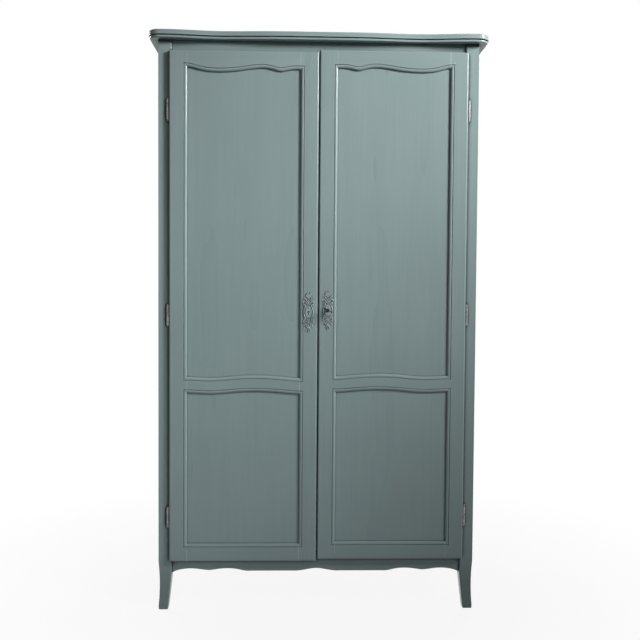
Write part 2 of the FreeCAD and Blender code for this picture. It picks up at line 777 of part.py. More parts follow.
def carcase():
    """Posts, rails, panels and boards. A mortise or groove is cut by the very piece that fills it."""
    core = "(rail_thickness - tenon_thickness) / 2"
    front_core_y = (f"rail_face_y + {core}", f"rail_back_y - {core}")
    front_core_x = ("-(post_inner + tenon_length)", "post_inner + tenon_length")
    top_board = block(
        "front_top_rail_board", ("-post_inner", "post_inner"), ("rail_face_y", "rail_back_y"),
        ("top_rail_base", "case_height"),
    )
    top_rail = tenoned(
        "front_top_rail_blank", top_board, front_core_x, front_core_y,
        ("top_rail_base + tenon_shoulder", "case_height - tenon_shoulder"),
    )
    apron = tenoned(
        "front_apron_blank", apron_blank(), front_core_x, front_core_y,
        ("apron_base + apron_crest + tenon_shoulder / 2", "apron_top - tenon_shoulder"),
    )
    back_core = "(back_rail_thickness - tenon_thickness) / 2"
    back_core_y = (f"back_face_y + {back_core}", f"back_y - {back_core}")
    back_core_x = ("-(post_inner + tenon_length)", "post_inner + tenon_length")
    back_rails = {}
    for name, low, high in (
        ("back_bottom_rail", "back_bottom_rail_base", "side_bottom_rail_top"),
        ("back_top_rail", "side_top_base", "case_height"),
    ):
        board = block(f"{name}_board", ("-post_inner", "post_inner"), ("back_face_y", "back_y"), (low, high))
        back_rails[name] = tenoned(
            f"{name}_blank", board, back_core_x, back_core_y,
            (f"{low} + tenon_shoulder", f"{high} - tenon_shoulder"),
        )
    muntin_board = block(
        "back_muntin_board", ("-back_muntin_width / 2", "back_muntin_width / 2"), ("back_face_y", "back_y"),
        ("side_bottom_rail_top", "side_top_base"),
    )
    muntin = tenoned(
        "back_muntin_blank", muntin_board,
        ("-back_muntin_width / 2 + tenon_shoulder", "back_muntin_width / 2 - tenon_shoulder"), back_core_y,
        ("side_bottom_rail_top - tenon_length", "side_top_base + tenon_length"),
    )
    back_panels = []
    for side, sign in (("left", -1), ("right", 1)):
        low, high = "back_muntin_width / 2 - panel_edge", "post_inner + panel_edge"
        back_panels.append(node(f"back_panel_{side}", block(
            f"back_panel_{side}", (low, high) if sign > 0 else (f"-({high})", f"-({low})"),
            ("back_panel_y", "back_panel_y + back_panel_thickness"),
            ("side_bottom_rail_top - panel_edge", "side_top_base + panel_edge"),
        )))
    sides = {side: side_frame(side, sign) for side, sign in (("left", -1), ("right", 1))}
    floor_blank = block(
        "floor_board_blank",
        ("-(side_inner + floor_board_tongue)", "side_inner + floor_board_tongue"),
        ("rail_back_y - floor_board_tongue", "back_face_y + floor_board_tongue"),
        ("floor_board_base", "floor_board_top"),
    )
    fronts = {side: front_post_blank(side, sign) for side, sign in (("left", -1), ("right", 1))}
    rears = {side: rear_post_blank(side, sign) for side, sign in (("left", -1), ("right", 1))}
    floor_board = node("floor_board", cut("floor_board", floor_blank, [*fronts.values(), *rears.values()]))

    keeper_tools = [keeper_seat(end) for end in ("upper", "lower")]
    node("front_top_rail", cut("front_top_rail", top_rail, [keeper_tools[0]]))
    node("front_apron", cut("front_apron", apron, [floor_board, keeper_tools[1]]))
    node("back_top_rail", cut("back_top_rail", back_rails["back_top_rail"], [muntin, *back_panels]))
    node("back_bottom_rail", cut(
        "back_bottom_rail", back_rails["back_bottom_rail"], [muntin, floor_board, *back_panels],
    ))
    node("back_muntin", cut("back_muntin", muntin, back_panels))
    for side, sign in (("left", -1), ("right", 1)):
        rails, panels = sides[side]
        for name, rail in rails:
            tools = [*panels, floor_board] if "bottom" in name else panels
            node(name, cut(name, rail, tools))
        blanks = [rail for name, rail in rails]
        wings = [hinge_wing_slot(side, sign, place, "post") for place in HINGE_PLACES]
        node(f"front_post_{side}", cut(
            f"front_post_{side}", fronts[side], [*blanks, *panels, top_rail, apron, *wings],
        ))
        node(f"rear_post_{side}", cut(
            f"rear_post_{side}", rears[side],
            [*blanks, *panels, *back_rails.values(), back_panels[0 if sign < 0 else 1]],
        ))


def cornice_outline(inset):
    """The plan of the cornice board: a serpentine front between two rounded ears."""
    half = f"(cornice_half - {inset})"
    front = f"(cornice_front_y + {inset})"
    corner = f"(cornice_corner - {inset})"
    x, y = value(half), value(front)
    inner = value(f"{half} - {corner}")
    waves = []
    for share, hollow in CORNICE_WAVE_SHARES:
        waves.append(Vector(inner * share, y + value(hollow), 0))
    middle = Vector(0, y + value("cornice_centre_hollow"), 0)
    serpentine = [Vector(-p.x, p.y, 0) for p in waves] + [middle] + waves[::-1]
    return [
        (f"-{half}", "back_y"),
        (f"-{half}", f"{front} + {corner}", ("arc", corner, Vector(-1, -1, 0))),
        (f"-({half} - {corner})", front, ("spline", serpentine)),
        (f"{half} - {corner}", front, ("arc", corner, Vector(1, -1, 0))),
        (half, f"{front} + {corner}"),
        (half, "back_y"),
    ]


def cornice():
    """The top board: a thick rounded fascia over a quirk and a small bead, worked on three edges."""
    body = new_body("cornice_board")
    bead = new_sketch(body, "cornice_bead_outline", "XY_Plane", "case_height")
    draw(bead, cornice_outline("cornice_bead_inset"))
    bead_pad = extrude(body, "Pad", bead, "cornice_bead_top - case_height", "cornice_bead")
    quirk = new_sketch(body, "cornice_quirk_outline", "XY_Plane", "cornice_bead_top")
    draw(quirk, cornice_outline("cornice_quirk_inset"))
    extrude(body, "Pad", quirk, "cornice_quirk", "cornice_quirk_step")
    fascia = new_sketch(body, "cornice_fascia_outline", "XY_Plane", "cornice_quirk_top")
    draw(fascia, cornice_outline("0"))
    top = extrude(body, "Pad", fascia, "cornice_fascia", "cornice_fascia_step")

    def worked(level):
        def chosen(edge):
            return lies_at(edge, "z", level) and not lies_at(edge, "y", "back_y")
        return chosen
    rounded = soften(
        body, top, "cornice_round", worked("case_height + cornice_thickness"), "cornice_top_round",
    )
    soften(
        body, rounded, "(cornice_bead_top - case_height) * cornice_bead_round_share",
        worked("case_height"), "cornice_bead_round",
    )
    node("cornice_board", body)


# Hinges: two mortised halves, the case half with the pin


HINGE_PLACES = ("hinge_bottom", "(hinge_bottom + hinge_top) / 2", "hinge_top")


def door_lift(side):
    """Both doors carry their hinges at the same heights above their own lower edges."""
    return "-door_drop" if side == "left" else "0"


def hinge_wing_slot(side, sign, place, where):
    """The slot that a hinge's wing is driven into."""
    thick = "hinge_wing_thickness"
    if where == "post":
        x = (f"{sign} * hinge_x - {thick} / 2", f"{sign} * hinge_x + {thick} / 2")
        y = ("hinge_y", "hinge_y + hinge_wing_depth")
        top = f"{place} + {door_lift(side)} - hinge_joint_gap / 2"
        z = (f"{top} - hinge_wing_height", top)
    else:
        reach = ("hinge_x - hinge_wing_depth", "hinge_x")
        x = reach if sign > 0 else tuple(f"-({end})" for end in reach[::-1])
        y = (f"hinge_y - {thick} / 2", f"hinge_y + {thick} / 2")
        low = f"{place} + {door_lift(side)} + hinge_joint_gap / 2"
        z = (low, f"{low} + hinge_wing_height")
    return block(f"{where}_hinge_slot_{side}", x, y, z)


def hinge_half(kind):
    """One half of a hinge about its own axis, its joint face at height 0."""
    body = new_body(f"hinge_{kind}_half")
    profile = new_sketch(body, f"hinge_{kind}_profile", "XZ_Plane")
    down = -1 if kind == "case" else 1
    barrel = f"{down} * (hinge_length / 2 - hinge_tip)"
    near = f"{down} * hinge_joint_gap / 2"
    button = f"{down} * (hinge_length / 2 - hinge_tip / 2)"
    tip = [
        ("hinge_radius", barrel),
        ("hinge_tip_radius * hinge_tip_neck_share", barrel),
        ("hinge_tip_radius", button),
        ("hinge_tip_radius * hinge_tip_end_share", f"{down} * hinge_length / 2"),
        ("0", f"{down} * hinge_length / 2"),
    ]
    if kind == "case":
        inside = [
            ("0", "hinge_pin_length"),
            ("hinge_pin_radius", "hinge_pin_length"),
            ("hinge_pin_radius", near),
        ]
    else:
        bore = "hinge_pin_radius + hinge_pin_play"
        floor = "hinge_pin_length + hinge_joint_gap"
        inside = [("0", floor), (bore, floor), (bore, near)]
    draw(profile, [*inside, ("hinge_radius", near), *tip])
    turn(body, profile, "V_Axis", f"hinge_{kind}_barrel")
    return body


def wing(body, kind, direction):
    """The flat wing of a hinge half: it leaves the barrel towards the post or the door."""
    thick = "hinge_wing_thickness"
    start = "(hinge_pin_radius + hinge_radius) / 2"
    low, high = ("-hinge_joint_gap / 2 - hinge_wing_height", "-hinge_joint_gap / 2")
    if kind == "door":
        low, high = ("hinge_joint_gap / 2", "hinge_joint_gap / 2 + hinge_wing_height")
    sketch = new_sketch(body, f"hinge_{kind}_wing_plan", "XY_Plane", low)
    if kind == "case":
        plan = rectangle((f"-{thick} / 2", f"{thick} / 2"), (start, "hinge_wing_depth"))
    elif direction > 0:
        plan = rectangle((start, "hinge_wing_depth"), (f"-{thick} / 2", f"{thick} / 2"))
    else:
        plan = rectangle(("-hinge_wing_depth", f"-({start})"), (f"-{thick} / 2", f"{thick} / 2"))
    draw(sketch, plan)
    extrude(body, "Pad", sketch, f"{high} - ({low})", f"hinge_{kind}_wing")
    return body


def hinges():
    for side, sign in (("left", -1), ("right", 1)):
        for kind in ("case", "door"):
            half = wing(hinge_half(kind), kind, -sign)
            copies = []
            for place in HINGE_PLACES:
                level = f"{place} + {door_lift(side)}"
                copies.append(copy_of(half, f"hinge_{kind}_{side}", f"{sign} * hinge_x", "hinge_y", level))
            group(f"hinge_{kind}_halves_{side}", copies)


# Doors


def moulded_edge(across):
    """The edge that faces a panel: quirk, bead, sight edge and panel groove.

    across turns (distance outwards from the sight line, depth below the face) into a sketch's corner.
    """
    towards = across("0", "-1", True)
    groove_back = "panel_recess + groove_width"
    return [
        across("moulding_width", "0"),
        across("moulding_width - quirk_width / 2", "quirk_depth"),
        (*across("moulding_width - quirk_width", "bead_drop"), ("arc", "bead_radius", towards)),
        across("0", "bead_toe"),
        across("0", "panel_recess"),
        across("groove_depth", "panel_recess"),
        across("groove_depth", groove_back),
        across("0", groove_back),
        across("0", "door_thickness"),
    ]


def stile(side, sign, which, base):
    """An upright of a door, full height, moulded along its inner edge."""
    body = new_body(f"{side}_{which}_stile_board")
    sketch = new_sketch(body, f"{side}_{which}_section", "XY_Plane", base)
    sight, outwards = ("sight_outer", 1) if which == "hinge" else ("sight_inner", -1)

    def across(out, depth, direction=False):
        if direction:
            return Vector(0, -1, 0)
        return f"{sign} * ({sight} + {outwards} * ({out}))", f"door_face_y + {depth}"
    if which == "hinge":
        rebate = f"{sign} * (post_inner - door_side_clearance)"
        outer = [
            (rebate, "door_back_y"),
            (rebate, "front_y - lip_clearance"),
            (f"{sign} * door_outer", "front_y - lip_clearance"),
            (f"{sign} * door_outer", "door_face_y"),
        ]
    else:
        outer = [(f"{sign} * door_inner", "door_back_y"), (f"{sign} * door_inner", "door_face_y")]
    draw(sketch, [*moulded_edge(across), *outer])
    extrude(body, "Pad", sketch, "door_height", f"{side}_{which}_stile_pad")
    return body


def wave(sign, points, level):
    """Places along a serpentine edge, from left to right: level before one sight line and after the other."""
    curve = []
    for share, size in points:
        curve.append(Vector(value(f"{sign} * (sight_outer - {share} * sight_width)"), level(size), 0))
    before = Vector(value(f"{sign} * (sight_outer + rail_lead)"), curve[0].y, 0)
    after = Vector(value(f"{sign} * (sight_inner - rail_lead)"), curve[-1].y, 0)
    ordered = [before, *curve, after]
    return ordered if sign < 0 else ordered[::-1]


def top_wave(sign, base):
    return wave(sign, TOP_WAVE_SHARES, lambda size: value(f"{base} + door_height - {size}"))


def mid_wave(sign, base):
    return wave(sign, MID_WAVE_SHARES, lambda size: value(f"{base} + mid_rail_centre + {size}"))


def sight_levels(which, base, end):
    """The heights of a rail's sight edges at the hinge side (end 0) or the meeting side (end -1)."""
    if which == "top":
        return [f"({base} + door_height - {TOP_WAVE_SHARES[end][1]})"]
    if which == "bottom":
        return [f"({base} + bottom_rail_height)"]
    centre = f"{base} + mid_rail_centre + {MID_WAVE_SHARES[end][1]}"
    return [f"({centre} - mid_rail_height / 2)", f"({centre} + mid_rail_height / 2)"]


def rail_edge(sill, way):
    """Turns (distance out from a rail's sight edge, depth) into its section sketch's corners."""
    def across(out, depth, direction=False):
        if direction:
            return Vector(-1, 0, 0)
        return f"door_face_y + {depth}", f"{sill} + {way} * ({out})"
    return across


def reverse_path(path):
    """The same corners in the other order, each edge kept between its own two corners."""
    turned = []
    for index in range(len(path) - 1, -1, -1):
        how = path[index - 1][2:] if index > 0 else ()
        turned.append((*path[index][:2], *how))
    return turned


def rail_board(side, sign, which, base):
    """A door rail's board: its section, moulding and all, carried past both stiles."""
    body = new_body(f"{side}_{which}_rail_board")
    start = "-(sight_outer + rail_lead)" if sign < 0 else "sight_inner - rail_lead"
    section = new_sketch(body, f"{side}_{which}_rail_section", "YZ_Plane", start)
    levels = sight_levels(which, base, 0 if sign < 0 else -1)
    if which == "mid":
        low, high = (moulded_edge(rail_edge(level, way)) for level, way in zip(levels, (1, -1)))
        draw(section, [*low, *reverse_path(high)])
    elif which == "top":
        head = f"{base} + door_height + top_rail_trough - top_rail_outer + overrun"
        draw(section, [
            *moulded_edge(rail_edge(levels[0], 1)), ("door_back_y", head), ("door_face_y", head),
        ])
    else:
        draw(section, [
            *moulded_edge(rail_edge(levels[0], -1)), ("door_back_y", base), ("door_face_y", base),
        ])
        extrude(body, "Pad", section, "sight_width + 2 * rail_lead", f"{side}_bottom_rail_pad")
        return body
    spine = new_sketch(body, f"{side}_{which}_rail_line", "XZ_Plane")
    curve = Part.BSplineCurve()
    curve.interpolate(top_wave(sign, base) if which == "top" else mid_wave(sign, base))
    spine.addGeometry(curve)
    sweep(body, section, spine, f"{side}_{which}_rail_sweep")
    return body


def rail_seat(side, sign, which, base):
    """The room that a rail takes up: mitred across the mouldings, square to the stiles behind them."""
    body = new_body(f"{side}_{which}_rail_seat")
    sketch = new_sketch(body, f"{side}_{which}_rail_seat_outline", "XZ_Plane", "-(door_back_y + overrun)")
    path = []
    for end, sight, outwards in ((0, "sight_outer", 1), (-1, "sight_inner", -1)):
        near = f"{sign} * {sight}"
        far = f"{sign} * ({sight} + {outwards} * moulding_width)"
        levels = sight_levels(which, base, end)
        if which == "top":
            corners = [
                (near, f"{levels[0]} - 8 * overrun"), (near, levels[0]),
                (far, f"{levels[0]} + moulding_width"), (far, f"{base} + door_height + overrun"),
            ]
        elif which == "bottom":
            corners = [
                (near, f"{levels[0]} + overrun"), (near, levels[0]),
                (far, f"{levels[0]} - moulding_width"), (far, f"{base} - overrun"),
            ]
        else:
            corners = [
                (near, f"{levels[0]} - 4 * overrun"), (near, levels[0]),
                (far, f"{levels[0]} + moulding_width"), (far, f"{levels[1]} - moulding_width"),
                (near, levels[1]), (near, f"{levels[1]} + 4 * overrun"),
            ]
        path += corners if end == 0 else corners[::-1]
    draw(sketch, path)
    extrude(body, "Pad", sketch, "door_thickness + 2 * overrun", f"{side}_{which}_rail_seat_pad")
    return body


def rail_tenons(side, sign, which, base):
    """The core of a rail that runs on into a mortise in each stile."""
    ends = (
        "sight_inner - moulding_width - door_tenon_length",
        "sight_outer + moulding_width + door_tenon_length",
    )
    x = ends if sign > 0 else (f"-({ends[1]})", f"-({ends[0]})")
    y = ("door_face_y + panel_recess", "door_face_y + panel_recess + groove_width")
    inset = "moulding_width + door_tenon_shoulder"
    if which == "top":
        z = (f"{base} + door_height - top_rail_outer + {inset}", f"{base} + door_height - door_tenon_haunch")
    elif which == "bottom":
        z = (f"{base} + door_tenon_haunch", f"{base} + bottom_rail_height - ({inset})")
    else:
        centre = f"{base} + mid_rail_centre"
        z = (f"{centre} - mid_rail_height / 2 + {inset}", f"{centre} + mid_rail_height / 2 - ({inset})")
    return block(f"{side}_{which}_rail_tenons", x, y, z)


def door_panel(side, sign, which, base):
    """A flat panel that follows its opening, let into the grooves all round."""
    body = new_body(f"{side}_{which}_panel")
    sketch = new_sketch(
        body, f"{side}_{which}_panel_outline", "XZ_Plane",
        "-(door_face_y + panel_recess + panel_play + panel_thickness)",
    )

    def shifted(points, lift):
        return [Vector(p.x, p.y + value(lift), 0) for p in points[1:-1]]
    if which == "upper":
        roof = shifted(top_wave(sign, base), "panel_edge")
        sill = shifted(mid_wave(sign, base), "mid_rail_height / 2 - panel_edge")[::-1]
    else:
        roof = shifted(mid_wave(sign, base), "panel_edge - mid_rail_height / 2")
        sill = None
    x = {0: f"{sign} * (sight_outer + panel_edge)", -1: f"{sign} * (sight_inner - panel_edge)"}
    left, right = (0, -1) if sign < 0 else (-1, 0)

    def corner(end, edge):
        if edge == "roof":
            rail, level = ("top", 0) if which == "upper" else ("mid", 0)
            return x[end], f"{sight_levels(rail, base, end)[level]} + panel_edge"
        rail, level = ("mid", 1) if which == "upper" else ("bottom", 0)
        return x[end], f"{sight_levels(rail, base, end)[level]} - panel_edge"
    draw(sketch, [
        (*corner(left, "roof"), ("spline", roof)),
        corner(right, "roof"),
        (*corner(right, "sill"), ("spline", sill) if sill else ("line",)),
        corner(left, "sill"),
    ])
    extrude(body, "Pad", sketch, "panel_thickness", f"{side}_{which}_panel_pad")
    return node(f"{side}_{which}_panel", body)


def door_envelope(side, sign, base):
    """The door's outer block with its four front edges rounded."""
    body = new_body(f"{side}_door_envelope")
    sketch = new_sketch(body, f"{side}_door_face", "XZ_Plane", "-door_back_y")
    spans = ("door_inner", "door_outer") if sign > 0 else ("-door_outer", "-door_inner")
    draw(sketch, rectangle(spans, (base, f"{base} + door_height")))
    pad = extrude(body, "Pad", sketch, "door_thickness", f"{side}_door_block")
    soften(body, pad, "door_round", lambda edge: lies_at(edge, "y", "door_face_y"), f"{side}_door_round")
    return body


def door(side, sign):
    base = f"{side}_door_base"
    envelope = door_envelope(side, sign, base)
    seats = []
    tenons = []
    for which in ("top", "mid", "bottom"):
        board = rail_board(side, sign, which, base)
        seat = rail_seat(side, sign, which, base)
        core = rail_tenons(side, sign, which, base)
        shouldered = common(f"{side}_{which}_rail_shouldered", board, seat)
        trimmed = common(f"{side}_{which}_rail_trimmed", shouldered, envelope)
        node(f"{side}_{which}_rail", fuse(f"{side}_{which}_rail", [trimmed, core]))
        seats.append(seat)
        tenons.append(core)
    slots = [hinge_wing_slot(side, sign, place, "door") for place in HINGE_PLACES]
    passage = key_passage() if side == "right" else []
    for which, extra in (("hinge", slots), ("meeting", passage)):
        blank = common(f"{side}_{which}_stile_blank", stile(side, sign, which, base), envelope)
        node(f"{side}_{which}_stile", cut(f"{side}_{which}_stile", blank, [*seats, *tenons, *extra]))
    for which in ("upper", "lower"):
        door_panel(side, sign, which, base)


def key_passage():
    """The hole that the key turns in, and the slot that lets its bit through."""
    hole = rod(
        "key_hole", "key_radius + key_hole_play", "door_thickness + 2 * overrun",
        ("keyhole_x", "door_face_y - overrun", "keyhole_z"), Vector(0, 1, 0),
    )
    slot = block(
        "key_slot", ("keyhole_x - keyhole_slot / 2", "keyhole_x + keyhole_slot / 2"),
        ("door_face_y - overrun", "door_back_y + overrun"), ("keyhole_z - keyhole_slot_drop", "keyhole_z"),
    )
    return [hole, slot]


# Escutcheons


ESCUTCHEON_SHARES = (
    (0.10, 0.5), (0.36, 0.435), (0.22, 0.375), (0.52, 0.30), (0.92, 0.215), (0.66, 0.14),
    (0.98, 0.02), (0.72, -0.13), (0.94, -0.2), (0.50, -0.30), (0.20, -0.385), (0.30, -0.44), (0.08, -0.5),
)


def escutcheon(side, sign):
    """A scalloped plate with an oval boss round the keyhole."""
    body = new_body(f"{side}_escutcheon")
    level = "keyhole_z" if side == "right" else "left_keyhole_z"
    plate = new_sketch(body, f"{side}_escutcheon_outline", "XZ_Plane", "-door_face_y")
    centre_x, centre_z = value(f"{sign} * keyhole_x"), value(level)
    half, tall = value("escutcheon_width / 2"), value("escutcheon_height")
    right = [Vector(centre_x + half * x, centre_z + tall * z, 0) for x, z in ESCUTCHEON_SHARES]
    left = [Vector(centre_x - half * x, centre_z + tall * z, 0) for x, z in ESCUTCHEON_SHARES]
    top, foot = ESCUTCHEON_SHARES[0], ESCUTCHEON_SHARES[-1]

    def corner(way, share):
        return (
            f"{sign} * keyhole_x + {way * share[0]} * escutcheon_width / 2",
            f"{level} + {share[1]} * escutcheon_height",
        )
    draw(plate, [
        (*corner(1, top), ("spline", right[1:-1])),
        corner(1, foot),
        (*corner(-1, foot), ("spline", left[1:-1][::-1])),
        corner(-1, top),
    ])
    extrude(body, "Pad", plate, "escutcheon_thickness", f"{side}_escutcheon_plate")
    boss = new_sketch(body, f"{side}_escutcheon_boss_outline", "XZ_Plane", "-door_face_y")
    rise = "(escutcheon_boss_height - escutcheon_boss_width) / 2"
    low, high = f"{level} - {rise}", f"{level} + {rise}"
    west = f"{sign} * keyhole_x - escutcheon_boss_width / 2"
    east = f"{sign} * keyhole_x + escutcheon_boss_width / 2"
    bow = "escutcheon_boss_width / 2 * half_round_share"
    draw(boss, [
        (east, low),
        (east, high, ("arc", bow, Vector(0, 1, 0))),
        (west, high),
        (west, low, ("arc", bow, Vector(0, -1, 0))),
    ])
    extrude(body, "Pad", boss, "escutcheon_thickness + escutcheon_boss", f"{side}_escutcheon_boss_pad")
    keyhole = new_sketch(body, f"{side}_keyhole_outline", "XZ_Plane", "-(door_face_y + overrun)")
    slot = rectangle(
        (f"{sign} * keyhole_x - keyhole_slot / 2", f"{sign} * keyhole_x + keyhole_slot / 2"),
        (f"{level} - keyhole_slot_drop", level),
    )
    draw(keyhole, slot)
    extrude(body, "Pocket", keyhole, "4 * overrun", f"{side}_keyhole_slot", True)
    eye = new_sketch(body, f"{side}_keyhole_eye_outline", "XZ_Plane", "-(door_face_y + overrun)")
    draw_circle(eye, f"{sign} * keyhole_x", level, "keyhole_radius")
    extrude(body, "Pocket", eye, "4 * overrun", f"{side}_keyhole_eye", True)
    node(f"{side}_escutcheon", body)


# Lock, bolt, key and strike


def lock_case():
    """A rim lock's case on the back of the right door, open towards the wood."""
    body = new_body("lock_case")
    low_z, high_z = "keyhole_z - lock_height / 2", "keyhole_z + lock_height / 2"
    shell = new_sketch(body, "lock_outline", "XZ_Plane", "-lock_back_y")
    draw(shell, rectangle(("lock_x", "lock_x + lock_width"), (low_z, high_z)))
    pad = extrude(body, "Pad", shell, "lock_depth", "lock_shell")
    soften(
        body, pad, "lock_wall * lock_round_share",
        lambda edge: lies_at(edge, "y", "lock_back_y"), "lock_round",
    )
    room = new_sketch(body, "lock_room_outline", "XZ_Plane", "-door_back_y")
    draw(room, rectangle(
        ("lock_x + lock_wall", "lock_x + lock_width - lock_wall"),
        (f"{low_z} + lock_wall", f"{high_z} - lock_wall"),
    ))
    extrude(body, "Pocket", room, "lock_depth - lock_wall", "lock_room")
    plate = new_sketch(body, "lock_plate_outline", "XZ_Plane", "-(door_back_y + lock_wall)")
    for low, high in (
        (f"{low_z} - lock_flange", f"{low_z} + lock_wall / 2"),
        (f"{high_z} - lock_wall / 2", f"{high_z} + lock_flange"),
    ):
        draw(plate, rectangle(("lock_x", "lock_x + lock_width"), (low, high)))
    extrude(body, "Pad", plate, "lock_wall", "lock_plates")
    rest = "keyhole_z + bolt_lift - bolt_play"
    guides = new_sketch(body, "lock_guide_outline", "XZ_Plane", "-(lock_back_y - lock_wall / 2)")
    draw(guides, rectangle(
        ("lock_x + lock_wall / 2", "lock_x + lock_wall + guide_length"), (f"{rest} - guide_thickness", rest),
    ))
    top = "keyhole_z + bolt_lift + bolt_height + bolt_play"
    draw(guides, rectangle(
        ("lock_x + lock_wall / 2", "lock_x + lock_width - lock_wall / 2"), (top, f"{top} + guide_thickness"),
    ))
    extrude(body, "Pad", guides, "lock_depth - lock_wall", "lock_guides")
    gate = new_sketch(body, "lock_gate_outline", "YZ_Plane", "lock_x + lock_wall / 2")
    draw(gate, rectangle(
        ("bolt_y - bolt_play", "bolt_y + bolt_thickness + bolt_play"),
        ("keyhole_z + bolt_lift - bolt_play", "keyhole_z + bolt_lift + bolt_height + bolt_play"),
    ))
    extrude(body, "Pocket", gate, "lock_wall + 2 * bolt_play", "lock_gate", True)
    screws = []
    for x in ("lock_x + lock_screw_inset", "lock_x + lock_width - lock_screw_inset"):
        for z in (f"{low_z} - lock_flange / 2", f"{high_z} + lock_flange / 2"):
            screws.append(screw_at("lock_screw", (x, "door_back_y + lock_wall", z), Vector(0, 1, 0)))
    screwed_on("lock_case", body, screws)
    return screws


def lock_bolt():
    """The sliding bolt, with two talons that the key's bit drives between."""
    body = new_body("lock_bolt")
    sketch = new_sketch(body, "lock_bolt_outline", "XZ_Plane", "-(bolt_y + bolt_thickness)")
    low, high = "keyhole_z + bolt_lift", "keyhole_z + bolt_lift + bolt_height"
    foot = f"{low} - bolt_talon_drop"
    start = "lock_x"
    first, second = f"{start} + bolt_talon_start", f"{start} + bolt_back_talon"
    draw(sketch, [
        (start, high),
        (start, low),
        (first, low),
        (first, foot),
        (f"{first} + bolt_talon_width", foot),
        (f"{first} + bolt_talon_width", low),
        (second, low),
        (second, foot),
        (f"{start} + bolt_length", foot),
        (f"{start} + bolt_length", high),
    ])
    extrude(body, "Pad", sketch, "bolt_thickness", "lock_bolt_bar")
    node("lock_bolt", body)


def key():
    """The key about its own axis: bow, collar, stem and bit, then turned to its slant."""
    body = new_body("key")
    stem = new_sketch(body, "key_stem_profile", "XY_Plane")
    front = "-(key_projection - key_bow_length + key_bow_band / 2)"
    back = "door_thickness + lock_depth - lock_wall - key_end_gap"
    collar = f"{front} + key_bow_band"
    draw(stem, [
        ("0", front),
        ("key_radius", front),
        ("key_radius", collar),
        ("key_collar_radius", collar),
        ("key_collar_radius", f"{collar} + key_collar_length"),
        ("key_radius", f"{collar} + key_collar_length"),
        ("key_radius", back),
        ("0", back),
    ])
    turn(body, stem, "V_Axis", "key_stem")
    bow = new_sketch(body, "key_bow_outline", "XY_Plane")
    draw(bow, bow_loop("0"))
    draw(bow, bow_loop("key_bow_band"))
    extrude(body, "Pad", bow, "key_bow_thickness", "key_bow", True)
    bit = new_sketch(body, "key_bit_outline", "XY_Plane")
    draw(bit, rectangle(
        ("0", "key_bit_reach"), (f"{back} - key_bit_length - key_end_gap", f"{back} - key_end_gap"),
    ))
    extrude(body, "Pad", bit, "key_bit_width", "key_bit", True)
    body.Placement = Placement(Vector(), Rotation(Vector(0, 1, 0), value("key_slant")))
    for axis, formula in zip("xyz", ("keyhole_x", "door_face_y", "keyhole_z")):
        bind(body, f"Placement.Base.{axis}", formula)
    node("key", body)


def bow_loop(inset):
    """An oval of two wide arcs and two narrow ones that meet without a corner."""
    wide = f"(bow_radius - {inset})"
    spread = "(bow_radius - key_bow_corner)"
    east = f"{wide} * bow_reach / {spread}"
    rise = f"({wide} * bow_rise / {spread} - bow_rise)"
    narrow = f"(key_bow_corner - {inset}) * half_round_share"
    large = f"{wide} * half_round_share"
    return [
        (east, f"bow_centre - {rise}", ("arc", narrow, Vector(1, 0, 0))),
        (east, f"bow_centre + {rise}", ("arc", large, Vector(0, 1, 0))),
        (f"-{east}", f"bow_centre + {rise}", ("arc", narrow, Vector(-1, 0, 0))),
        (f"-{east}", f"bow_centre - {rise}", ("arc", large, Vector(0, -1, 0))),
    ]


def strike():
    """The staple on the back of the left door that the lock's bolt shoots into."""
    body = new_body("strike_plate")
    inner = "-(door_inner + lock_set_back)"
    outer = f"{inner} - strike_depth"
    middle = "keyhole_z + bolt_lift + bolt_height / 2"
    back = "bolt_y + bolt_thickness + bolt_play + strike_wall"
    tall = "(bolt_height / 2 + bolt_play + strike_wall)"
    plate = new_sketch(body, "strike_plate_outline", "XZ_Plane", "-(door_back_y + strike_wall)")
    draw(plate, rectangle(
        (outer, inner), (f"{middle} - {tall} - strike_flange", f"{middle} + {tall} + strike_flange"),
    ))
    extrude(body, "Pad", plate, "strike_wall", "strike_base")
    bridge = new_sketch(body, "strike_bridge_outline", "XZ_Plane", f"-({back})")
    draw(bridge, rectangle((outer, inner), (f"{middle} - {tall}", f"{middle} + {tall}")))
    extrude(body, "Pad", bridge, f"{back} - door_back_y", "strike_bridge")
    mouth = new_sketch(body, "strike_mouth_outline", "YZ_Plane", f"{inner} + overrun")
    draw(mouth, rectangle(
        ("bolt_y - bolt_play", "bolt_y + bolt_thickness + bolt_play"),
        (f"{middle} - bolt_height / 2 - bolt_play", f"{middle} + bolt_height / 2 + bolt_play"),
    ))
    extrude(body, "Pocket", mouth, "strike_depth - strike_wall + overrun", "strike_mouth")
    screws = []
    for way in (-1, 1):
        level = f"{middle} + {way} * ({tall} + strike_flange / 2)"
        place = (f"({outer} + {inner}) / 2", "door_back_y + strike_wall", level)
        screws.append(screw_at("strike_screw", place, Vector(0, 1, 0)))
    screwed_on("strike_plate", body, screws)
    return screws


# Slide bolts of the left door


def keeper_seat(end):
    """Room for a keeper plate and the bolt above or below it."""
    level, into = ("top_rail_base", 1) if end == "upper" else ("apron_top", -1)
    x = ("slide_bolt_x - keeper_length / 2", "slide_bolt_x + keeper_length / 2")
    y = ("slide_bolt_y - keeper_width / 2", "slide_bolt_y + keeper_width / 2")
    z = (level, f"{level} + keeper_thickness") if into > 0 else (f"{level} - keeper_thickness", level)
    reach = "slide_bolt_throw + overrun"
    start = level if into > 0 else f"{level} - ({reach})"
    hole = rod(
        f"{end}_keeper_bore", "slide_bolt_radius + keeper_play", reach,
        ("slide_bolt_x", "slide_bolt_y", start),
    )
    return fuse(f"{end}_keeper_seat", [block(f"{end}_keeper_rebate", x, y, z), hole])


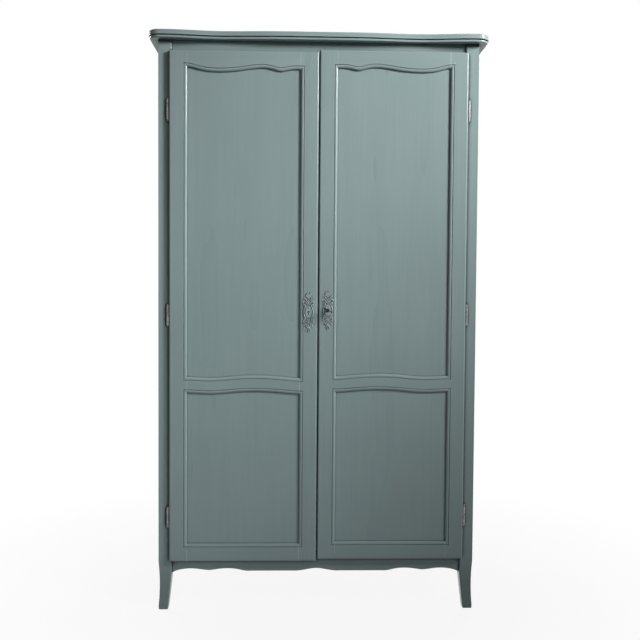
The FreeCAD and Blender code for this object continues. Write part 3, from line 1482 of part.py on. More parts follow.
def keepers():
    plates = []
    screws = []
    for end in ("upper", "lower"):
        body = new_body(f"{end}_keeper")
        low = "top_rail_base" if end == "upper" else "apron_top - keeper_thickness"
        plan = new_sketch(body, f"{end}_keeper_plan", "XY_Plane", low)
        draw(plan, rectangle(
            ("slide_bolt_x - keeper_length / 2", "slide_bolt_x + keeper_length / 2"),
            ("slide_bolt_y - keeper_width / 2", "slide_bolt_y + keeper_width / 2"),
        ))
        draw_circle(plan, "slide_bolt_x", "slide_bolt_y", "slide_bolt_radius + keeper_play")
        extrude(body, "Pad", plan, "keeper_thickness", f"{end}_keeper_pad")
        plates.append(body)
        level = "top_rail_base" if end == "upper" else "apron_top"
        facing = Vector(0, 0, -1 if end == "upper" else 1)
        for way in (-1, 1):
            place = (f"slide_bolt_x + {way} * keeper_screw_spread", "slide_bolt_y", level)
            screws.append(screw_at("keeper_screw", place, facing))
    screwed_on("bolt_keepers", bundle("bolt_keeper_plates", plates), screws)
    return screws


def slide_bolt(end):
    """A round bolt with its knob, and the case that guides it."""
    into = 1 if end == "upper" else -1
    tip = f"{end}_bolt_tip"
    tail = f"{tip} - {into} * slide_bolt_length"
    middle = f"({tip} - {into} * slide_bolt_length / 2)"
    low = tail if into > 0 else tip
    bar = rod(
        f"{end}_bolt_bar", "slide_bolt_radius", "slide_bolt_length", ("slide_bolt_x", "slide_bolt_y", low),
    )
    stem = rod(
        f"{end}_bolt_stem", "slide_knob_stem", "slide_case_radius + slide_knob_reach",
        ("slide_bolt_x", "slide_bolt_y", middle), Vector(0, 1, 0),
    )
    head = rod(
        f"{end}_bolt_head", "slide_knob_radius", "slide_knob_head",
        (
            "slide_bolt_x", "slide_bolt_y + slide_case_radius + slide_knob_reach - slide_knob_head",
            middle,
        ),
        Vector(0, 1, 0),
    )
    node(f"{end}_bolt", fuse(f"{end}_bolt", [bar, stem, head]))
    body = new_body(f"{end}_bolt_case")
    foot = f"{middle} - slide_case_height / 2"
    plan = new_sketch(body, f"{end}_bolt_case_plan", "XY_Plane", foot)
    draw(plan, rectangle(
        ("slide_bolt_x - slide_case_width / 2", "slide_bolt_x + slide_case_width / 2"),
        ("door_back_y", "door_back_y + slide_case_wall"),
    ))
    extrude(body, "Pad", plan, "slide_case_height", f"{end}_bolt_case_plate")
    barrel = new_sketch(body, f"{end}_bolt_case_barrel_plan", "XY_Plane", foot)
    crown = ("arc", "slide_case_radius * half_round_share", Vector(0, 1, 0))
    draw(barrel, [
        ("slide_bolt_x - slide_case_radius", "door_back_y"),
        ("slide_bolt_x + slide_case_radius", "door_back_y"),
        ("slide_bolt_x + slide_case_radius", "slide_bolt_y", crown),
        ("slide_bolt_x - slide_case_radius", "slide_bolt_y"),
    ])
    extrude(body, "Pad", barrel, "slide_case_height", f"{end}_bolt_case_barrel")
    bore = new_sketch(body, f"{end}_bolt_case_bore_plan", "XY_Plane", f"{foot} + slide_case_height + overrun")
    draw_circle(bore, "slide_bolt_x", "slide_bolt_y", "slide_bolt_radius + slide_bolt_play")
    extrude(body, "Pocket", bore, "slide_case_height + 2 * overrun", f"{end}_bolt_case_bore")
    slot = new_sketch(body, f"{end}_bolt_case_slot_outline", "XZ_Plane", "-(slide_bolt_y + 2 * overrun)")
    end_room = "slide_knob_stem * slide_slot_end_share"
    side_room = "slide_knob_stem * slide_slot_width_share"
    near, far = f"{middle} - {end_room}", f"{middle} + slide_bolt_throw + {end_room}"
    if into < 0:
        near, far = f"{middle} - slide_bolt_throw - {end_room}", f"{middle} + {end_room}"
    draw(slot, rectangle((f"slide_bolt_x - {side_room}", f"slide_bolt_x + {side_room}"), (near, far)))
    opening = extrude(body, "Pocket", slot, "2 * overrun", f"{end}_bolt_case_slot")
    opening.Reversed = True
    screws = []
    for way in (-1, 1):
        for z in (f"{foot} + slide_screw_inset", f"{foot} + slide_case_height - slide_screw_inset"):
            place = (f"slide_bolt_x + {way} * slide_screw_spread", "door_back_y + slide_case_wall", z)
            screws.append(screw_at("bolt_case_screw", place, Vector(0, 1, 0)))
    screwed_on(f"{end}_bolt_case", body, screws)
    return screws


# Inside fittings and screws


def interior():
    ends = ("-(post_inner - shelf_end_gap)", "post_inner - shelf_end_gap")
    node("hat_shelf", block(
        "hat_shelf", ends,
        ("front_y + shelf_set_back", "back_face_y - shelf_end_gap"),
        ("shelf_base", "shelf_top"),
    ))
    cleats = []
    cleat_screws = []
    socket_screws = []
    for sign in (-1, 1):
        x = ("cleat_inner", "post_inner") if sign > 0 else ("-post_inner", "-cleat_inner")
        cleats.append(block(
            "shelf_cleat", x, ("side_front_y - cleat_lap", "back_face_y"),
            ("shelf_base - cleat_height", "shelf_base"),
        ))
        rear_inset = "cleat_screw_inset * cleat_screw_rear_share"
        for y in ("side_front_y - cleat_screw_inset", f"side_back_y + {rear_inset}"):
            place = (f"{sign} * cleat_inner", y, "shelf_base - cleat_height / 2")
            cleat_screws.append(screw_at("cleat_screw", place, Vector(-sign, 0, 0), cleat_screw))
        for angle in (90, 210, 330):
            across, up = math.cos(math.radians(angle)), math.sin(math.radians(angle))
            place = (
                f"{sign} * (cleat_inner - socket_flange)",
                f"hanging_rail_y + {across:.6f} * socket_screw_circle",
                f"hanging_rail_z + {up:.6f} * socket_screw_circle",
            )
            socket_screws.append(screw_at("socket_screw", place, Vector(-sign, 0, 0)))
    screwed_on("shelf_cleats", bundle("shelf_cleat_boards", cleats), cleat_screws)
    group("cleat_screws", cleat_screws)
    body = new_body("rail_socket")
    profile = new_sketch(body, "rail_socket_profile", "XZ_Plane")
    bore = "rail_radius + rail_play"
    draw(profile, [
        ("0", "0"),
        ("socket_flange_radius", "0"),
        ("socket_flange_radius", "socket_flange"),
        (f"{bore} + socket_wall", "socket_flange"),
        (f"{bore} + socket_wall", "socket_depth"),
        (bore, "socket_depth"),
        (bore, "socket_flange"),
        ("0", "socket_flange"),
    ])
    turn(body, profile, "V_Axis", "rail_socket_turned")
    sockets = []
    for sign in (-1, 1):
        facing = Rotation(Vector(0, 0, 1), Vector(-sign, 0, 0))
        sockets.append(copy_of(
            body, "rail_socket", f"{sign} * cleat_inner", "hanging_rail_y", "hanging_rail_z", facing,
        ))
    screwed_on("rail_sockets", bundle("rail_socket_pair", sockets), socket_screws)
    reach = "(cleat_inner - socket_flange - shelf_end_gap)"
    node("hanging_rail", rod(
        "hanging_rail", "rail_radius", f"2 * {reach}",
        (f"-{reach}", "hanging_rail_y", "hanging_rail_z"), Vector(1, 0, 0),
    ))
    return socket_screws


def build():
    carcase()
    cornice()
    hinges()
    for side, sign in (("left", -1), ("right", 1)):
        door(side, sign)
        escutcheon(side, sign)
    group("right_door_screws", lock_case())
    lock_bolt()
    key()
    left_screws = strike()
    for end in ("upper", "lower"):
        left_screws += slide_bolt(end)
    group("left_door_screws", left_screws)
    group("case_screws", keepers() + interior())


def check_and_write():
    document.recompute()
    for thing in document.Objects:
        if {"Invalid", "Error"} & set(thing.State):
            raise RuntimeError(f"{thing.Label} failed: {thing.State}")
    for name, thing in nodes.items():
        if thing.Shape.isNull() or not thing.Shape.isValid() or thing.Shape.Volume <= 0:
            raise RuntimeError(f"{name} has no valid shape")
    os.makedirs("parts", exist_ok=True)
    for name, thing in nodes.items():
        thing.Shape.exportStep(f"parts/{name}.step")
    print(len(nodes), "sub-parts")


wood_screw = screw("wood_screw", "screw")
cleat_screw = screw("cleat_screw", "cleat_screw")
build()
check_and_write()
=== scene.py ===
"""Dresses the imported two-door wardrobe in brushed paint, bare boards, cast escutcheons and slotted screws."""

import math

import bmesh
import bpy
from bpy.props import FloatProperty, FloatVectorProperty, IntProperty, PointerProperty
from mathutils import Matrix, Vector


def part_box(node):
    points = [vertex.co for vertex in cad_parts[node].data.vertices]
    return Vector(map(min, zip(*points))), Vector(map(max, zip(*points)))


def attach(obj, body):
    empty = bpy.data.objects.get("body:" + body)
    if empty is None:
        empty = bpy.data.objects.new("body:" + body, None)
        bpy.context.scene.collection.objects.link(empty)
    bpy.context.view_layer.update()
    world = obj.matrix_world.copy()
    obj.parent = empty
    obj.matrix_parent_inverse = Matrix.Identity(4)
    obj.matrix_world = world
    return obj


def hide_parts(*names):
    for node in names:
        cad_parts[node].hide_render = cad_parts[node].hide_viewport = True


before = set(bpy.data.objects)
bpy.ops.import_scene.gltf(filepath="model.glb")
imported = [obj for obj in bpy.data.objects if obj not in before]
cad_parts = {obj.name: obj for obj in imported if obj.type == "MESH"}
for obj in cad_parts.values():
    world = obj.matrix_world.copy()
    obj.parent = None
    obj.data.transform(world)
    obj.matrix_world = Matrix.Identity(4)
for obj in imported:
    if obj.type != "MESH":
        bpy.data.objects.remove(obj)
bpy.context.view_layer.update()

bl_info = {
    "name": "Painted wardrobe",
    "version": (1, 0, 0),
    "blender": (4, 5, 0),
    "location": "3D View > Sidebar > Wardrobe",
    "description": "Paints and trims a two-door wardrobe over its solids",
    "category": "Object",
}

MM = 0.001
DOORS = ("left", "right")
WHITE = (1.0, 1.0, 1.0)


# Sizes and colours that a user would change

def length(name, description, default):
    """A size in metres."""
    return FloatProperty(
        name=name, description=description, default=default, min=0, unit="LENGTH", precision=5,
    )


def share(name, description, default):
    """A share from none to all."""
    return FloatProperty(
        name=name, description=description, default=default, min=0, max=1, subtype="FACTOR",
    )


def colour(name, description, default):
    """A colour as it is written in linear light."""
    return FloatVectorProperty(
        name=name, description=description, default=default, size=3, min=0, max=1, subtype="COLOR",
    )


def turn(name, description, default):
    """An angle in radians."""
    return FloatProperty(name=name, description=description, default=default, subtype="ANGLE")


def power(name, description, default):
    """A lamp's power in watts."""
    return FloatProperty(name=name, description=description, default=default, min=0, unit="POWER")


class PaintSettings(bpy.types.PropertyGroup):
    """The satin paint on the case and the doors."""
    coat: colour("Coat", "Colour of the paint", (0.23, 0.308, 0.312))
    thin_coat: colour("Thin coat", "Colour where the brush left less paint", (0.285, 0.36, 0.36))
    undercoat: colour("Undercoat", "Colour that shows where edges are rubbed", (0.46, 0.5, 0.48))
    crack: colour("Crack", "Colour of the hair cracks at the rails' shoulders", (0.42, 0.5, 0.49))
    crack_width: length("Crack width", "Width of a hair crack", 0.0016)
    crack_strength: share("Crack strength", "How much the hair cracks show", 0.7)
    # painted shade: colour and strength of the darkening in tight corners, gaps and recesses
    shade_colour: colour("Shade colour", "Colour of the tight corners", (0.02, 0.028, 0.028))
    painted_shade: share("Painted shade", "How dark the tight corners are", 0.95)
    # painted shadow round the hinges on the front posts
    hinge_shade: share("Hinge shadow", "How dark the posts are round the hinges", 0.96)
    # painted shade near the floor: the paint gets darker towards the bottom
    low_shade: share("Low shade", "How much darker the paint is near the floor", 0.3)
    darkened_height: length("Darkened height", "Up to here the paint is fully soiled", 0.09)
    unshaded_height: length("Unshaded height", "From here up the paint is clean", 0.2)
    brush_mark: length("Brush mark", "Distance between two brush marks", 0.0035)
    mark_depth: length("Mark depth", "Depth of the brush marks", 0.00014)
    edge_width: length("Edge width", "Width of the softened edges", 0.0012)
    wear: share("Wear", "How much of the edges is rubbed", 0.3)
    roughness: share("Roughness", "How dull the dry paint is", 0.3)
    gloss: share("Gloss", "How much light the paint itself mirrors", 0.27)
    varnish: share("Varnish", "How much of a clear layer lies on clean paint", 0.3)
    varnish_roughness: share("Varnish roughness", "How dull the clear layer is", 0.14)


class WoodSettings(bpy.types.PropertyGroup):
    """The bare boards inside and at the back."""
    early: colour("Early wood", "Colour between the growth rings", (0.4, 0.265, 0.15))
    late: colour("Late wood", "Colour of the growth rings", (0.2, 0.115, 0.058))
    ring: length("Ring", "Distance between two growth rings", 0.014)
    roughness: share("Roughness", "How dull the wood is", 0.62)
    gloss: share("Gloss", "How much light the oiled wood mirrors", 0.35)
    pore_depth: length("Pore depth", "Depth of the pores", 0.0002)


class MetalSettings(bpy.types.PropertyGroup):
    """Hinges, lock, bolts and key."""
    iron: colour("Iron", "Colour of the hinges' old iron", (0.32, 0.31, 0.31))
    steel: colour("Steel", "Colour of the lock and the bolts", (0.33, 0.32, 0.31))
    key_steel: colour("Key steel", "Colour of the darkened key", (0.022, 0.021, 0.021))
    brass: colour("Brass", "Colour of the rail's sockets", (0.6, 0.43, 0.18))
    tarnish: colour("Tarnish", "Colour of the dull patches", (0.03, 0.027, 0.025))
    pit_depth: length("Pit depth", "Depth of the pits", 0.00008)


class EscutcheonSettings(bpy.types.PropertyGroup):
    """The cast plates round the keyholes."""
    voxel: length("Voxel", "Fineness of the cast", 0.0004)
    web: length("Web", "How far the thin web reaches beyond a scroll", 0.0013)
    web_rise: length("Web rise", "Thickness of the web", 0.0009)
    relief: length("Relief", "Height of a scroll's middle above the door", 0.0016)
    flatness: share("Flatness", "How flat a scroll's section is", 0.85)
    keyhole: length("Keyhole", "Radius of the keyhole", 0.0038)
    slot: length("Slot", "Width of the keyhole's slot", 0.0034)
    slot_drop: length("Slot drop", "How far the slot reaches down", 0.0092)


class ScrewSettings(bpy.types.PropertyGroup):
    """Countersunk screws with a slot."""
    sides: IntProperty(name="Sides", description="Sides of a screw's round", default=20, min=8, max=48)
    slot: share("Slot", "Width of the slot as a share of the head's radius", 0.26)
    depth: share("Depth", "Depth of the slot as a share of the head's radius", 0.28)
    seed: IntProperty(name="Seed", description="Seed of the slots' turns", default=7)


class StageSettings(bpy.types.PropertyGroup):
    """Camera, lamps and floor."""
    lens: FloatProperty(
        name="Lens", description="Focal length for a 36 mm sensor", default=43.98, unit="CAMERA",
    )
    eye: FloatVectorProperty(
        name="Eye", description="Place of the camera", default=(-0.0698, -2.9535, 1.1162),
        subtype="TRANSLATION",
    )
    yaw: turn("Yaw", "Turn to the right", 0.0284)
    pitch: turn("Pitch", "Tilt downwards", 0.0363)
    roll: turn("Roll", "Turn about the view", 0.0068)
    key_lamp: power("Key lamp", "Power of the window on the right", 20.4)
    fill_lamp: power("Fill lamp", "Power of the lamp in front", 2.6)
    rear_lamp: power("Rear lamps", "Power of each lamp behind", 18)
    ambient: share("Ambient", "Level of the light from above", 0.07)
    ambient_below: share("Ambient below", "Share of that light from below", 0.25)
    floor_size: length("Floor", "Width of the floor", 30.0)
    floor_tint: colour("Floor tint", "Colour of the floor", (0.4, 0.4, 0.4))
    floor_glow: share("Floor glow", "How white the floor is under the wardrobe", 0.91)
    shadow_inner: length("Shadow inner", "Up to here the floor shows the whole shadow", 0.6)
    shadow_outer: length("Shadow outer", "From here on the floor is white", 1.7)


# Helpers for node trees

def add(tree, kind, inputs=None, **settings):
    """A node with its settings, each input given a number or a socket."""
    made = tree.nodes.new(kind)
    for name, setting in settings.items():
        setattr(made, name, setting)
    for key, given in (inputs or {}).items():
        if isinstance(given, bpy.types.NodeSocket):
            tree.links.new(given, made.inputs[key])
        else:
            made.inputs[key].default_value = given
    return made


def feed(tree, inputs, given):
    """Links sockets into the inputs of their names."""
    for name, socket in given.items():
        tree.links.new(socket, inputs[name])


def maths(tree, operation, first, second=0.0):
    """The result of an operation on two numbers or sockets."""
    return add(tree, "ShaderNodeMath", {0: first, 1: second}, operation=operation).outputs[0]


def times(tree, first, *others):
    """The product of numbers or sockets."""
    for other in others:
        first = maths(tree, "MULTIPLY", first, other)
    return first


def plus(tree, first, second):
    """The sum of two numbers or sockets."""
    return maths(tree, "ADD", first, second)


def minus(tree, first, second):
    """The difference of two numbers or sockets."""
    return maths(tree, "SUBTRACT", first, second)


def size_of(tree, given):
    """A value without its sign."""
    return maths(tree, "ABSOLUTE", given)


def spread(tree, given, low, high, to_low=0.0, to_high=1.0):
    """A value moved from one range to another and held inside it."""
    inputs = {"Value": given, "From Min": low, "From Max": high, "To Min": to_low, "To Max": to_high}
    return add(tree, "ShaderNodeMapRange", inputs).outputs["Result"]


def fade(tree, given, low, high):
    """One where a value is low, nothing where it is high."""
    return spread(tree, given, low, high, to_low=1.0, to_high=0.0)


def blend(tree, factor, first, second, way="MIX"):
    """Two colours blended by a factor."""
    inputs = {0: factor, 6: first, 7: second}
    return add(tree, "ShaderNodeMix", inputs, data_type="RGBA", blend_type=way).outputs[2]


def shaded(tree, tint, shade):
    """A colour made darker or lighter by a value."""
    return blend(tree, 1.0, tint, shade, "MULTIPLY")


def noise(tree, place, scale, detail=2.0, rough=0.5, along=1.0):
    """A smooth random value over the surface, drawn out along Z where along is below one."""
    if along < 1.0:
        place = add(tree, "ShaderNodeMapping", {"Vector": place, "Scale": (1.0, 1.0, along)}).outputs[0]
    inputs = {"Vector": place, "Scale": scale, "Detail": detail, "Roughness": rough}
    return add(tree, "ShaderNodeTexNoise", inputs).outputs["Fac"]


def axes(tree, place):
    """The three parts of a place."""
    return add(tree, "ShaderNodeSeparateXYZ", {0: place}).outputs


def openness(tree, distance):
    """How open the surface is, from nothing in a tight corner to one."""
    return add(tree, "ShaderNodeAmbientOcclusion", {"Distance": distance}, samples=8).outputs["AO"]


def rgba(given, factor=1.0):
    """A colour times a factor, with full alpha."""
    return (*(min(1.0, part * factor) for part in given), 1.0)


VECTORS = ("Place", "Normal")
COLOURS = ("Colour", "Coat", "Thin coat", "Early", "Late", "Metal", "Tarnish")


def shader_group(name, inputs, outputs):
    """A new shader node group, with what comes in and where its results go."""
    tree = bpy.data.node_groups.new(name, "ShaderNodeTree")
    for way, labels in (("INPUT", inputs), ("OUTPUT", outputs)):
        for label in labels:
            kind = "Vector" if label in VECTORS else "Color" if label in COLOURS else "Float"
            tree.interface.new_socket(name=label, in_out=way, socket_type=f"NodeSocket{kind}")
    return tree, tree.nodes.new("NodeGroupInput").outputs, tree.nodes.new("NodeGroupOutput").inputs


def use(tree, group, inputs):
    """The results of a group with its own values."""
    return add(tree, "ShaderNodeGroup", inputs, node_tree=bpy.data.node_groups[group]).outputs


# Shared effects

NOISE_LUMP = 0.6   # size of a noise's lumps at scale 1


def rubbed_edges():
    """Rounds sharp edges for the light and masks where they are rubbed."""
    tree, given, out = shader_group("rubbed edges", ("Place", "Width", "Amount"), ("Mask", "Normal"))
    bevel = add(tree, "ShaderNodeBevel", {"Radius": given["Width"]}, samples=6).outputs["Normal"]
    plain = add(tree, "ShaderNodeNewGeometry").outputs["Normal"]
    alike = add(tree, "ShaderNodeVectorMath", {0: bevel, 1: plain}, operation="DOT_PRODUCT").outputs["Value"]
    sharp = spread(tree, alike, 0.985, 0.86)
    patches = noise(tree, given["Place"], 55.0, detail=4.0, rough=0.65)
    rubbed = times(tree, sharp, spread(tree, patches, 0.48, 0.6), given["Amount"])
    feed(tree, out, {"Mask": rubbed, "Normal": bevel})


def corner_shade():
    """Masks tight corners, narrow gaps and recesses for painted shade, clear of the soles."""
    tree, given, out = shader_group(
        "corner grime", ("Place", "Distance", "Dark", "Clear", "Amount"), ("Mask",),
    )
    hidden = fade(tree, openness(tree, given["Distance"]), given["Dark"], given["Clear"])
    off_floor = spread(tree, axes(tree, given["Place"])["Z"], 0.02, 0.04)
    feed(tree, out, {"Mask": times(tree, hidden, off_floor, given["Amount"])})


def brushed_coat():
    """Brush marks, thin places and the wood's grain showing through a coat of paint."""
    tree, given, out = shader_group(
        "brushed coat", ("Place", "Mark", "Coat", "Thin coat", "Roughness"),
        ("Colour", "Roughness", "Height"),
    )
    place = given["Place"]
    finest = maths(tree, "DIVIDE", NOISE_LUMP, given["Mark"])
    marks = noise(tree, place, finest, detail=3.0, rough=0.62, along=0.02)
    grain = noise(tree, place, 75.0, detail=5.0, rough=0.7, along=0.045)
    bands = noise(tree, place, 9.0, along=0.12)
    cloud = noise(tree, place, 2.3, detail=3.0, rough=0.55)
    thin_marks = spread(tree, marks, 0.4, 0.72, to_high=0.25)
    thin_bands = spread(tree, bands, 0.35, 0.7, to_high=0.25)
    tint = blend(tree, plus(tree, thin_marks, thin_bands), given["Coat"], given["Thin coat"])
    tint = shaded(tree, tint, spread(tree, grain, 0.3, 0.42, to_low=0.965))
    tint = shaded(tree, tint, spread(tree, cloud, 0.3, 0.7, to_low=0.955, to_high=1.035))
    uneven = spread(tree, bands, 0.3, 0.7, to_low=-0.04, to_high=0.06)
    feed(tree, out, {
        "Colour": tint,
        "Roughness": plus(tree, given["Roughness"], uneven),
        "Height": plus(tree, times(tree, marks, 0.6), times(tree, grain, 0.5)),
    })


def shoulder_cracks():
    """Hair cracks in the paint where a rail's shoulders meet the stiles."""
    tree, given, out = shader_group("shoulder cracks", ("Place", "Outer", "Inner", "Width"), ("Mask",))
    off = size_of(tree, axes(tree, given["Place"])["X"])
    wander = spread(tree, noise(tree, given["Place"], 160.0), 0.2, 0.8, to_low=0.35, to_high=1.2)
    reach = times(tree, given["Width"], wander)
    masks = []
    for line in ("Outer", "Inner"):
        away = size_of(tree, minus(tree, off, given[line]))
        masks.append(fade(tree, maths(tree, "DIVIDE", away, reach), 0.5, 1.0))
    broken = spread(tree, noise(tree, given["Place"], 28.0), 0.36, 0.5)
    feed(tree, out, {"Mask": times(tree, maths(tree, "MAXIMUM", *masks), broken)})


def hinge_shadow():
    """Painted shadow round hinges on one line, an equal pitch apart."""
    tree, given, out = shader_group(
        "hinge stain", ("Place", "Axis", "Lowest", "Pitch", "Half length", "Width", "Depth"), ("Mask",),
    )
    parts = axes(tree, given["Place"])
    off = size_of(tree, minus(tree, size_of(tree, parts["X"]), given["Axis"]))
    level = minus(tree, parts["Z"], given["Lowest"])
    nearest = times(tree, maths(tree, "ROUND", maths(tree, "DIVIDE", level, given["Pitch"])), given["Pitch"])
    along = size_of(tree, maths(tree, "DIVIDE", minus(tree, level, nearest), given["Half length"]))
    across = maths(tree, "DIVIDE", off, given["Width"])
    oval = plus(tree, maths(tree, "POWER", along, 4.0), maths(tree, "POWER", across, 2.0))
    specks = noise(tree, given["Place"], 150.0, detail=3.0)
    ragged = plus(tree, oval, spread(tree, specks, 0.3, 0.7, to_low=-0.25, to_high=0.25))
    hinge_shade = fade(tree, ragged, 0.75, 1.15)
    forward = maths(tree, "LESS_THAN", parts["Y"], given["Depth"])
    feed(tree, out, {"Mask": times(tree, hinge_shade, forward)})


def sawn_grain():
    """Growth rings and pores that run along a board."""
    tree, given, out = shader_group(
        "sawn grain", ("Place", "Ring", "Early", "Late", "Roughness"), ("Colour", "Roughness", "Height"),
    )
    place = given["Place"]
    parts = axes(tree, place)
    wander = noise(tree, place, 7.0, detail=3.0, rough=0.45, along=0.07)
    across = plus(tree, parts["X"], times(tree, parts["Y"], 0.7))
    count = plus(tree, maths(tree, "DIVIDE", across, given["Ring"]), times(tree, wander, 9.0))
    wave = spread(tree, maths(tree, "SINE", times(tree, count, 2 * math.pi)), -1.0, 1.0)
    rings = maths(tree, "POWER", wave, 2.2)
    pores = noise(tree, place, 330.0, detail=4.0, rough=0.6, along=0.025)
    streaks = noise(tree, place, 40.0, detail=4.0, rough=0.6, along=0.04)
    cloud = noise(tree, place, 3.0, detail=3.0)
    late = times(tree, rings, spread(tree, cloud, 0.3, 0.7, to_low=0.12, to_high=0.42))
    late = plus(tree, late, spread(tree, streaks, 0.42, 0.75, to_high=0.45))
    tint = blend(tree, late, given["Early"], given["Late"])
    tint = shaded(tree, tint, spread(tree, pores, 0.3, 0.55, to_low=0.8, to_high=1.03))
    tint = shaded(tree, tint, spread(tree, cloud, 0.3, 0.7, to_low=0.88, to_high=1.06))
    feed(tree, out, {
        "Colour": tint,
        "Roughness": plus(tree, given["Roughness"], times(tree, rings, -0.08)),
        "Height": plus(tree, times(tree, pores, 0.7), times(tree, wave, 0.2)),
    })


def aged_metal():
    """Tarnish, small pits and fine scratches on metal."""
    tree, given, out = shader_group(
        "aged metal", ("Place", "Metal", "Tarnish", "Amount", "Roughness"),
        ("Colour", "Roughness", "Height", "Dull"),
    )
    place = given["Place"]
    cloud = noise(tree, place, 120.0, detail=4.0, rough=0.65)
    pits = noise(tree, place, 900.0)
    scratches = noise(tree, place, 1500.0, along=0.08)
    dull = times(tree, spread(tree, cloud, 0.36, 0.62), given["Amount"])
    tint = blend(tree, dull, given["Metal"], given["Tarnish"])
    tint = shaded(tree, tint, spread(tree, scratches, 0.3, 0.7, to_low=0.88, to_high=1.1))
    feed(tree, out, {
        "Colour": tint,
        "Roughness": plus(tree, given["Roughness"], times(tree, dull, 0.3)),
        "Height": plus(tree, spread(tree, pits, 0.3, 0.5), times(tree, cloud, 0.6)),
        "Dull": dull,
    })


EFFECTS = (rubbed_edges, corner_shade, brushed_coat, shoulder_cracks, hinge_shadow, sawn_grain, aged_metal)


# Materials

LIES = {"upright": (0, 0, 0), "level": (0, math.pi / 2, 0), "deep": (math.pi / 2, 0, 0)}
# how far and how dark the painted shade reaches into each kind of corner
CORNERS = {
    "tight": {"Distance": 0.008, "Dark": 0.3, "Clear": 0.88},
    "deep": {"Distance": 0.024, "Dark": 0.68, "Clear": 0.86},
    "wide": {"Distance": 0.05, "Dark": 0.3, "Clear": 1.0},
}
CRACK_DEPTH = 1.5   # in heights of a brush mark
HINGE_LENGTH = 0.078
HINGES_PER_DOOR = 3
# painted shadow round the hinges on the front posts: its axis, half length, widths (wider on the left) and how
# far back it reaches
HINGE_SHADE = {"Axis": 0.518, "Half length": 0.045}   # the axis counts from the middle
HINGE_SHADE_WIDTHS = {"left": 0.0125, "right": 0.008}
HINGE_SHADE_DEPTH = 0.0125   # how far the stains reach back from the posts' faces


def new_material(name, specular=0.5):
    """A material with its tree, its Principled shader and the surface's place."""
    material = bpy.data.materials.new(name)
    material.use_nodes = True
    tree = material.node_tree
    shader = next(n for n in tree.nodes if n.type == "BSDF_PRINCIPLED")
    shader.inputs["Specular IOR Level"].default_value = specular
    place = add(tree, "ShaderNodeTexCoord").outputs["Object"]
    return material, tree, shader, place


def laid(tree, place, lies, offset):
    """A place turned to the piece's length and moved to another part of the pattern."""
    inputs = {"Vector": place, "Rotation": LIES[lies], "Location": offset}
    return add(tree, "ShaderNodeMapping", inputs).outputs["Vector"]


def bumped(tree, height, distance, normal=None):
    """A normal raised by a height."""
    inputs = {"Height": height, "Distance": distance, "Strength": 1.0}
    if normal:
        inputs["Normal"] = normal
    return add(tree, "ShaderNodeBump", inputs).outputs["Normal"]


def paint_coat(tree, place, paint, duller=0.0):
    """The brushed coat in the paint's own colours."""
    return use(tree, "brushed coat", {
        "Place": place, "Mark": paint.brush_mark, "Coat": rgba(paint.coat),
        "Thin coat": rgba(paint.thin_coat), "Roughness": paint.roughness + duller,
    })


def cracked(tree, place, paint, tint, height):
    """A coat's colour and height with hair cracks at the shoulders of the doors' rails."""
    crack = use(tree, "shoulder cracks", {
        "Place": place, "Width": paint.crack_width,
        "Outer": -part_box("left_hinge_stile")[1].x, "Inner": -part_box("left_meeting_stile")[0].x,
    })["Mask"]
    tint = blend(tree, times(tree, crack, paint.crack_strength), tint, rgba(paint.crack))
    return tint, minus(tree, height, times(tree, crack, CRACK_DEPTH))


def hinge_shade_sizes(side):
    """Where the painted shadows round one side's hinges are."""
    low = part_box(f"hinge_case_halves_{side}")[0].z
    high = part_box(f"hinge_door_halves_{side}")[1].z
    return {
        **HINGE_SHADE, "Width": HINGE_SHADE_WIDTHS[side], "Depth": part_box(f"front_post_{side}")[0].y + HINGE_SHADE_DEPTH,
        "Lowest": low + HINGE_LENGTH / 2, "Pitch": (high - low - HINGE_LENGTH) / (HINGES_PER_DOOR - 1),
    }


def painted(
    name, lies="upright", offset=(0, 0, 0), cracks=False, hinge_shade=None, corner="tight", shade_scale=1.0, duller=0.0,
):
    """Brushed satin paint whose brush marks run along the piece, with painted shade in its corners, near the
    floor and round any hinges given.
    """
    paint = bpy.context.scene.wardrobe_paint
    material, tree, shader, place = new_material(name, paint.gloss)
    shader.inputs["Coat Roughness"].default_value = paint.varnish_roughness
    coat = paint_coat(tree, laid(tree, place, lies, offset), paint, duller)
    edges = use(tree, "rubbed edges", {"Place": place, "Width": paint.edge_width, "Amount": paint.wear})
    tint = blend(tree, edges["Mask"], coat["Colour"], rgba(paint.undercoat))
    height = coat["Height"]
    if cracks:
        tint, height = cracked(tree, place, paint, tint, height)
    # painted shade near the floor: the paint gets darker towards the bottom
    level = axes(tree, place)["Z"]
    darkened = spread(tree, level, paint.darkened_height, paint.unshaded_height, to_low=1 - paint.low_shade)
    tint = shaded(tree, tint, darkened)
    # painted shade in tight corners and gaps, where the varnish is taken away too
    amount = paint.painted_shade * shade_scale
    painted_shade = use(tree, "corner grime", {"Place": place, **CORNERS[corner], "Amount": amount})["Mask"]
    # painted shadow round the hinges, joined to the painted corner shade
    if hinge_shade:
        dark = use(tree, "hinge stain", {"Place": place, **hinge_shade})["Mask"]
        painted_shade = maths(tree, "MAXIMUM", painted_shade, times(tree, dark, paint.hinge_shade))
    feed(tree, shader.inputs, {
        "Base Color": blend(tree, painted_shade, tint, rgba(paint.shade_colour)),
        "Roughness": coat["Roughness"],
        "Coat Weight": times(tree, minus(tree, 1.0, painted_shade), paint.varnish),
        "Normal": bumped(tree, height, paint.mark_depth, edges["Normal"]),
    })
    return material


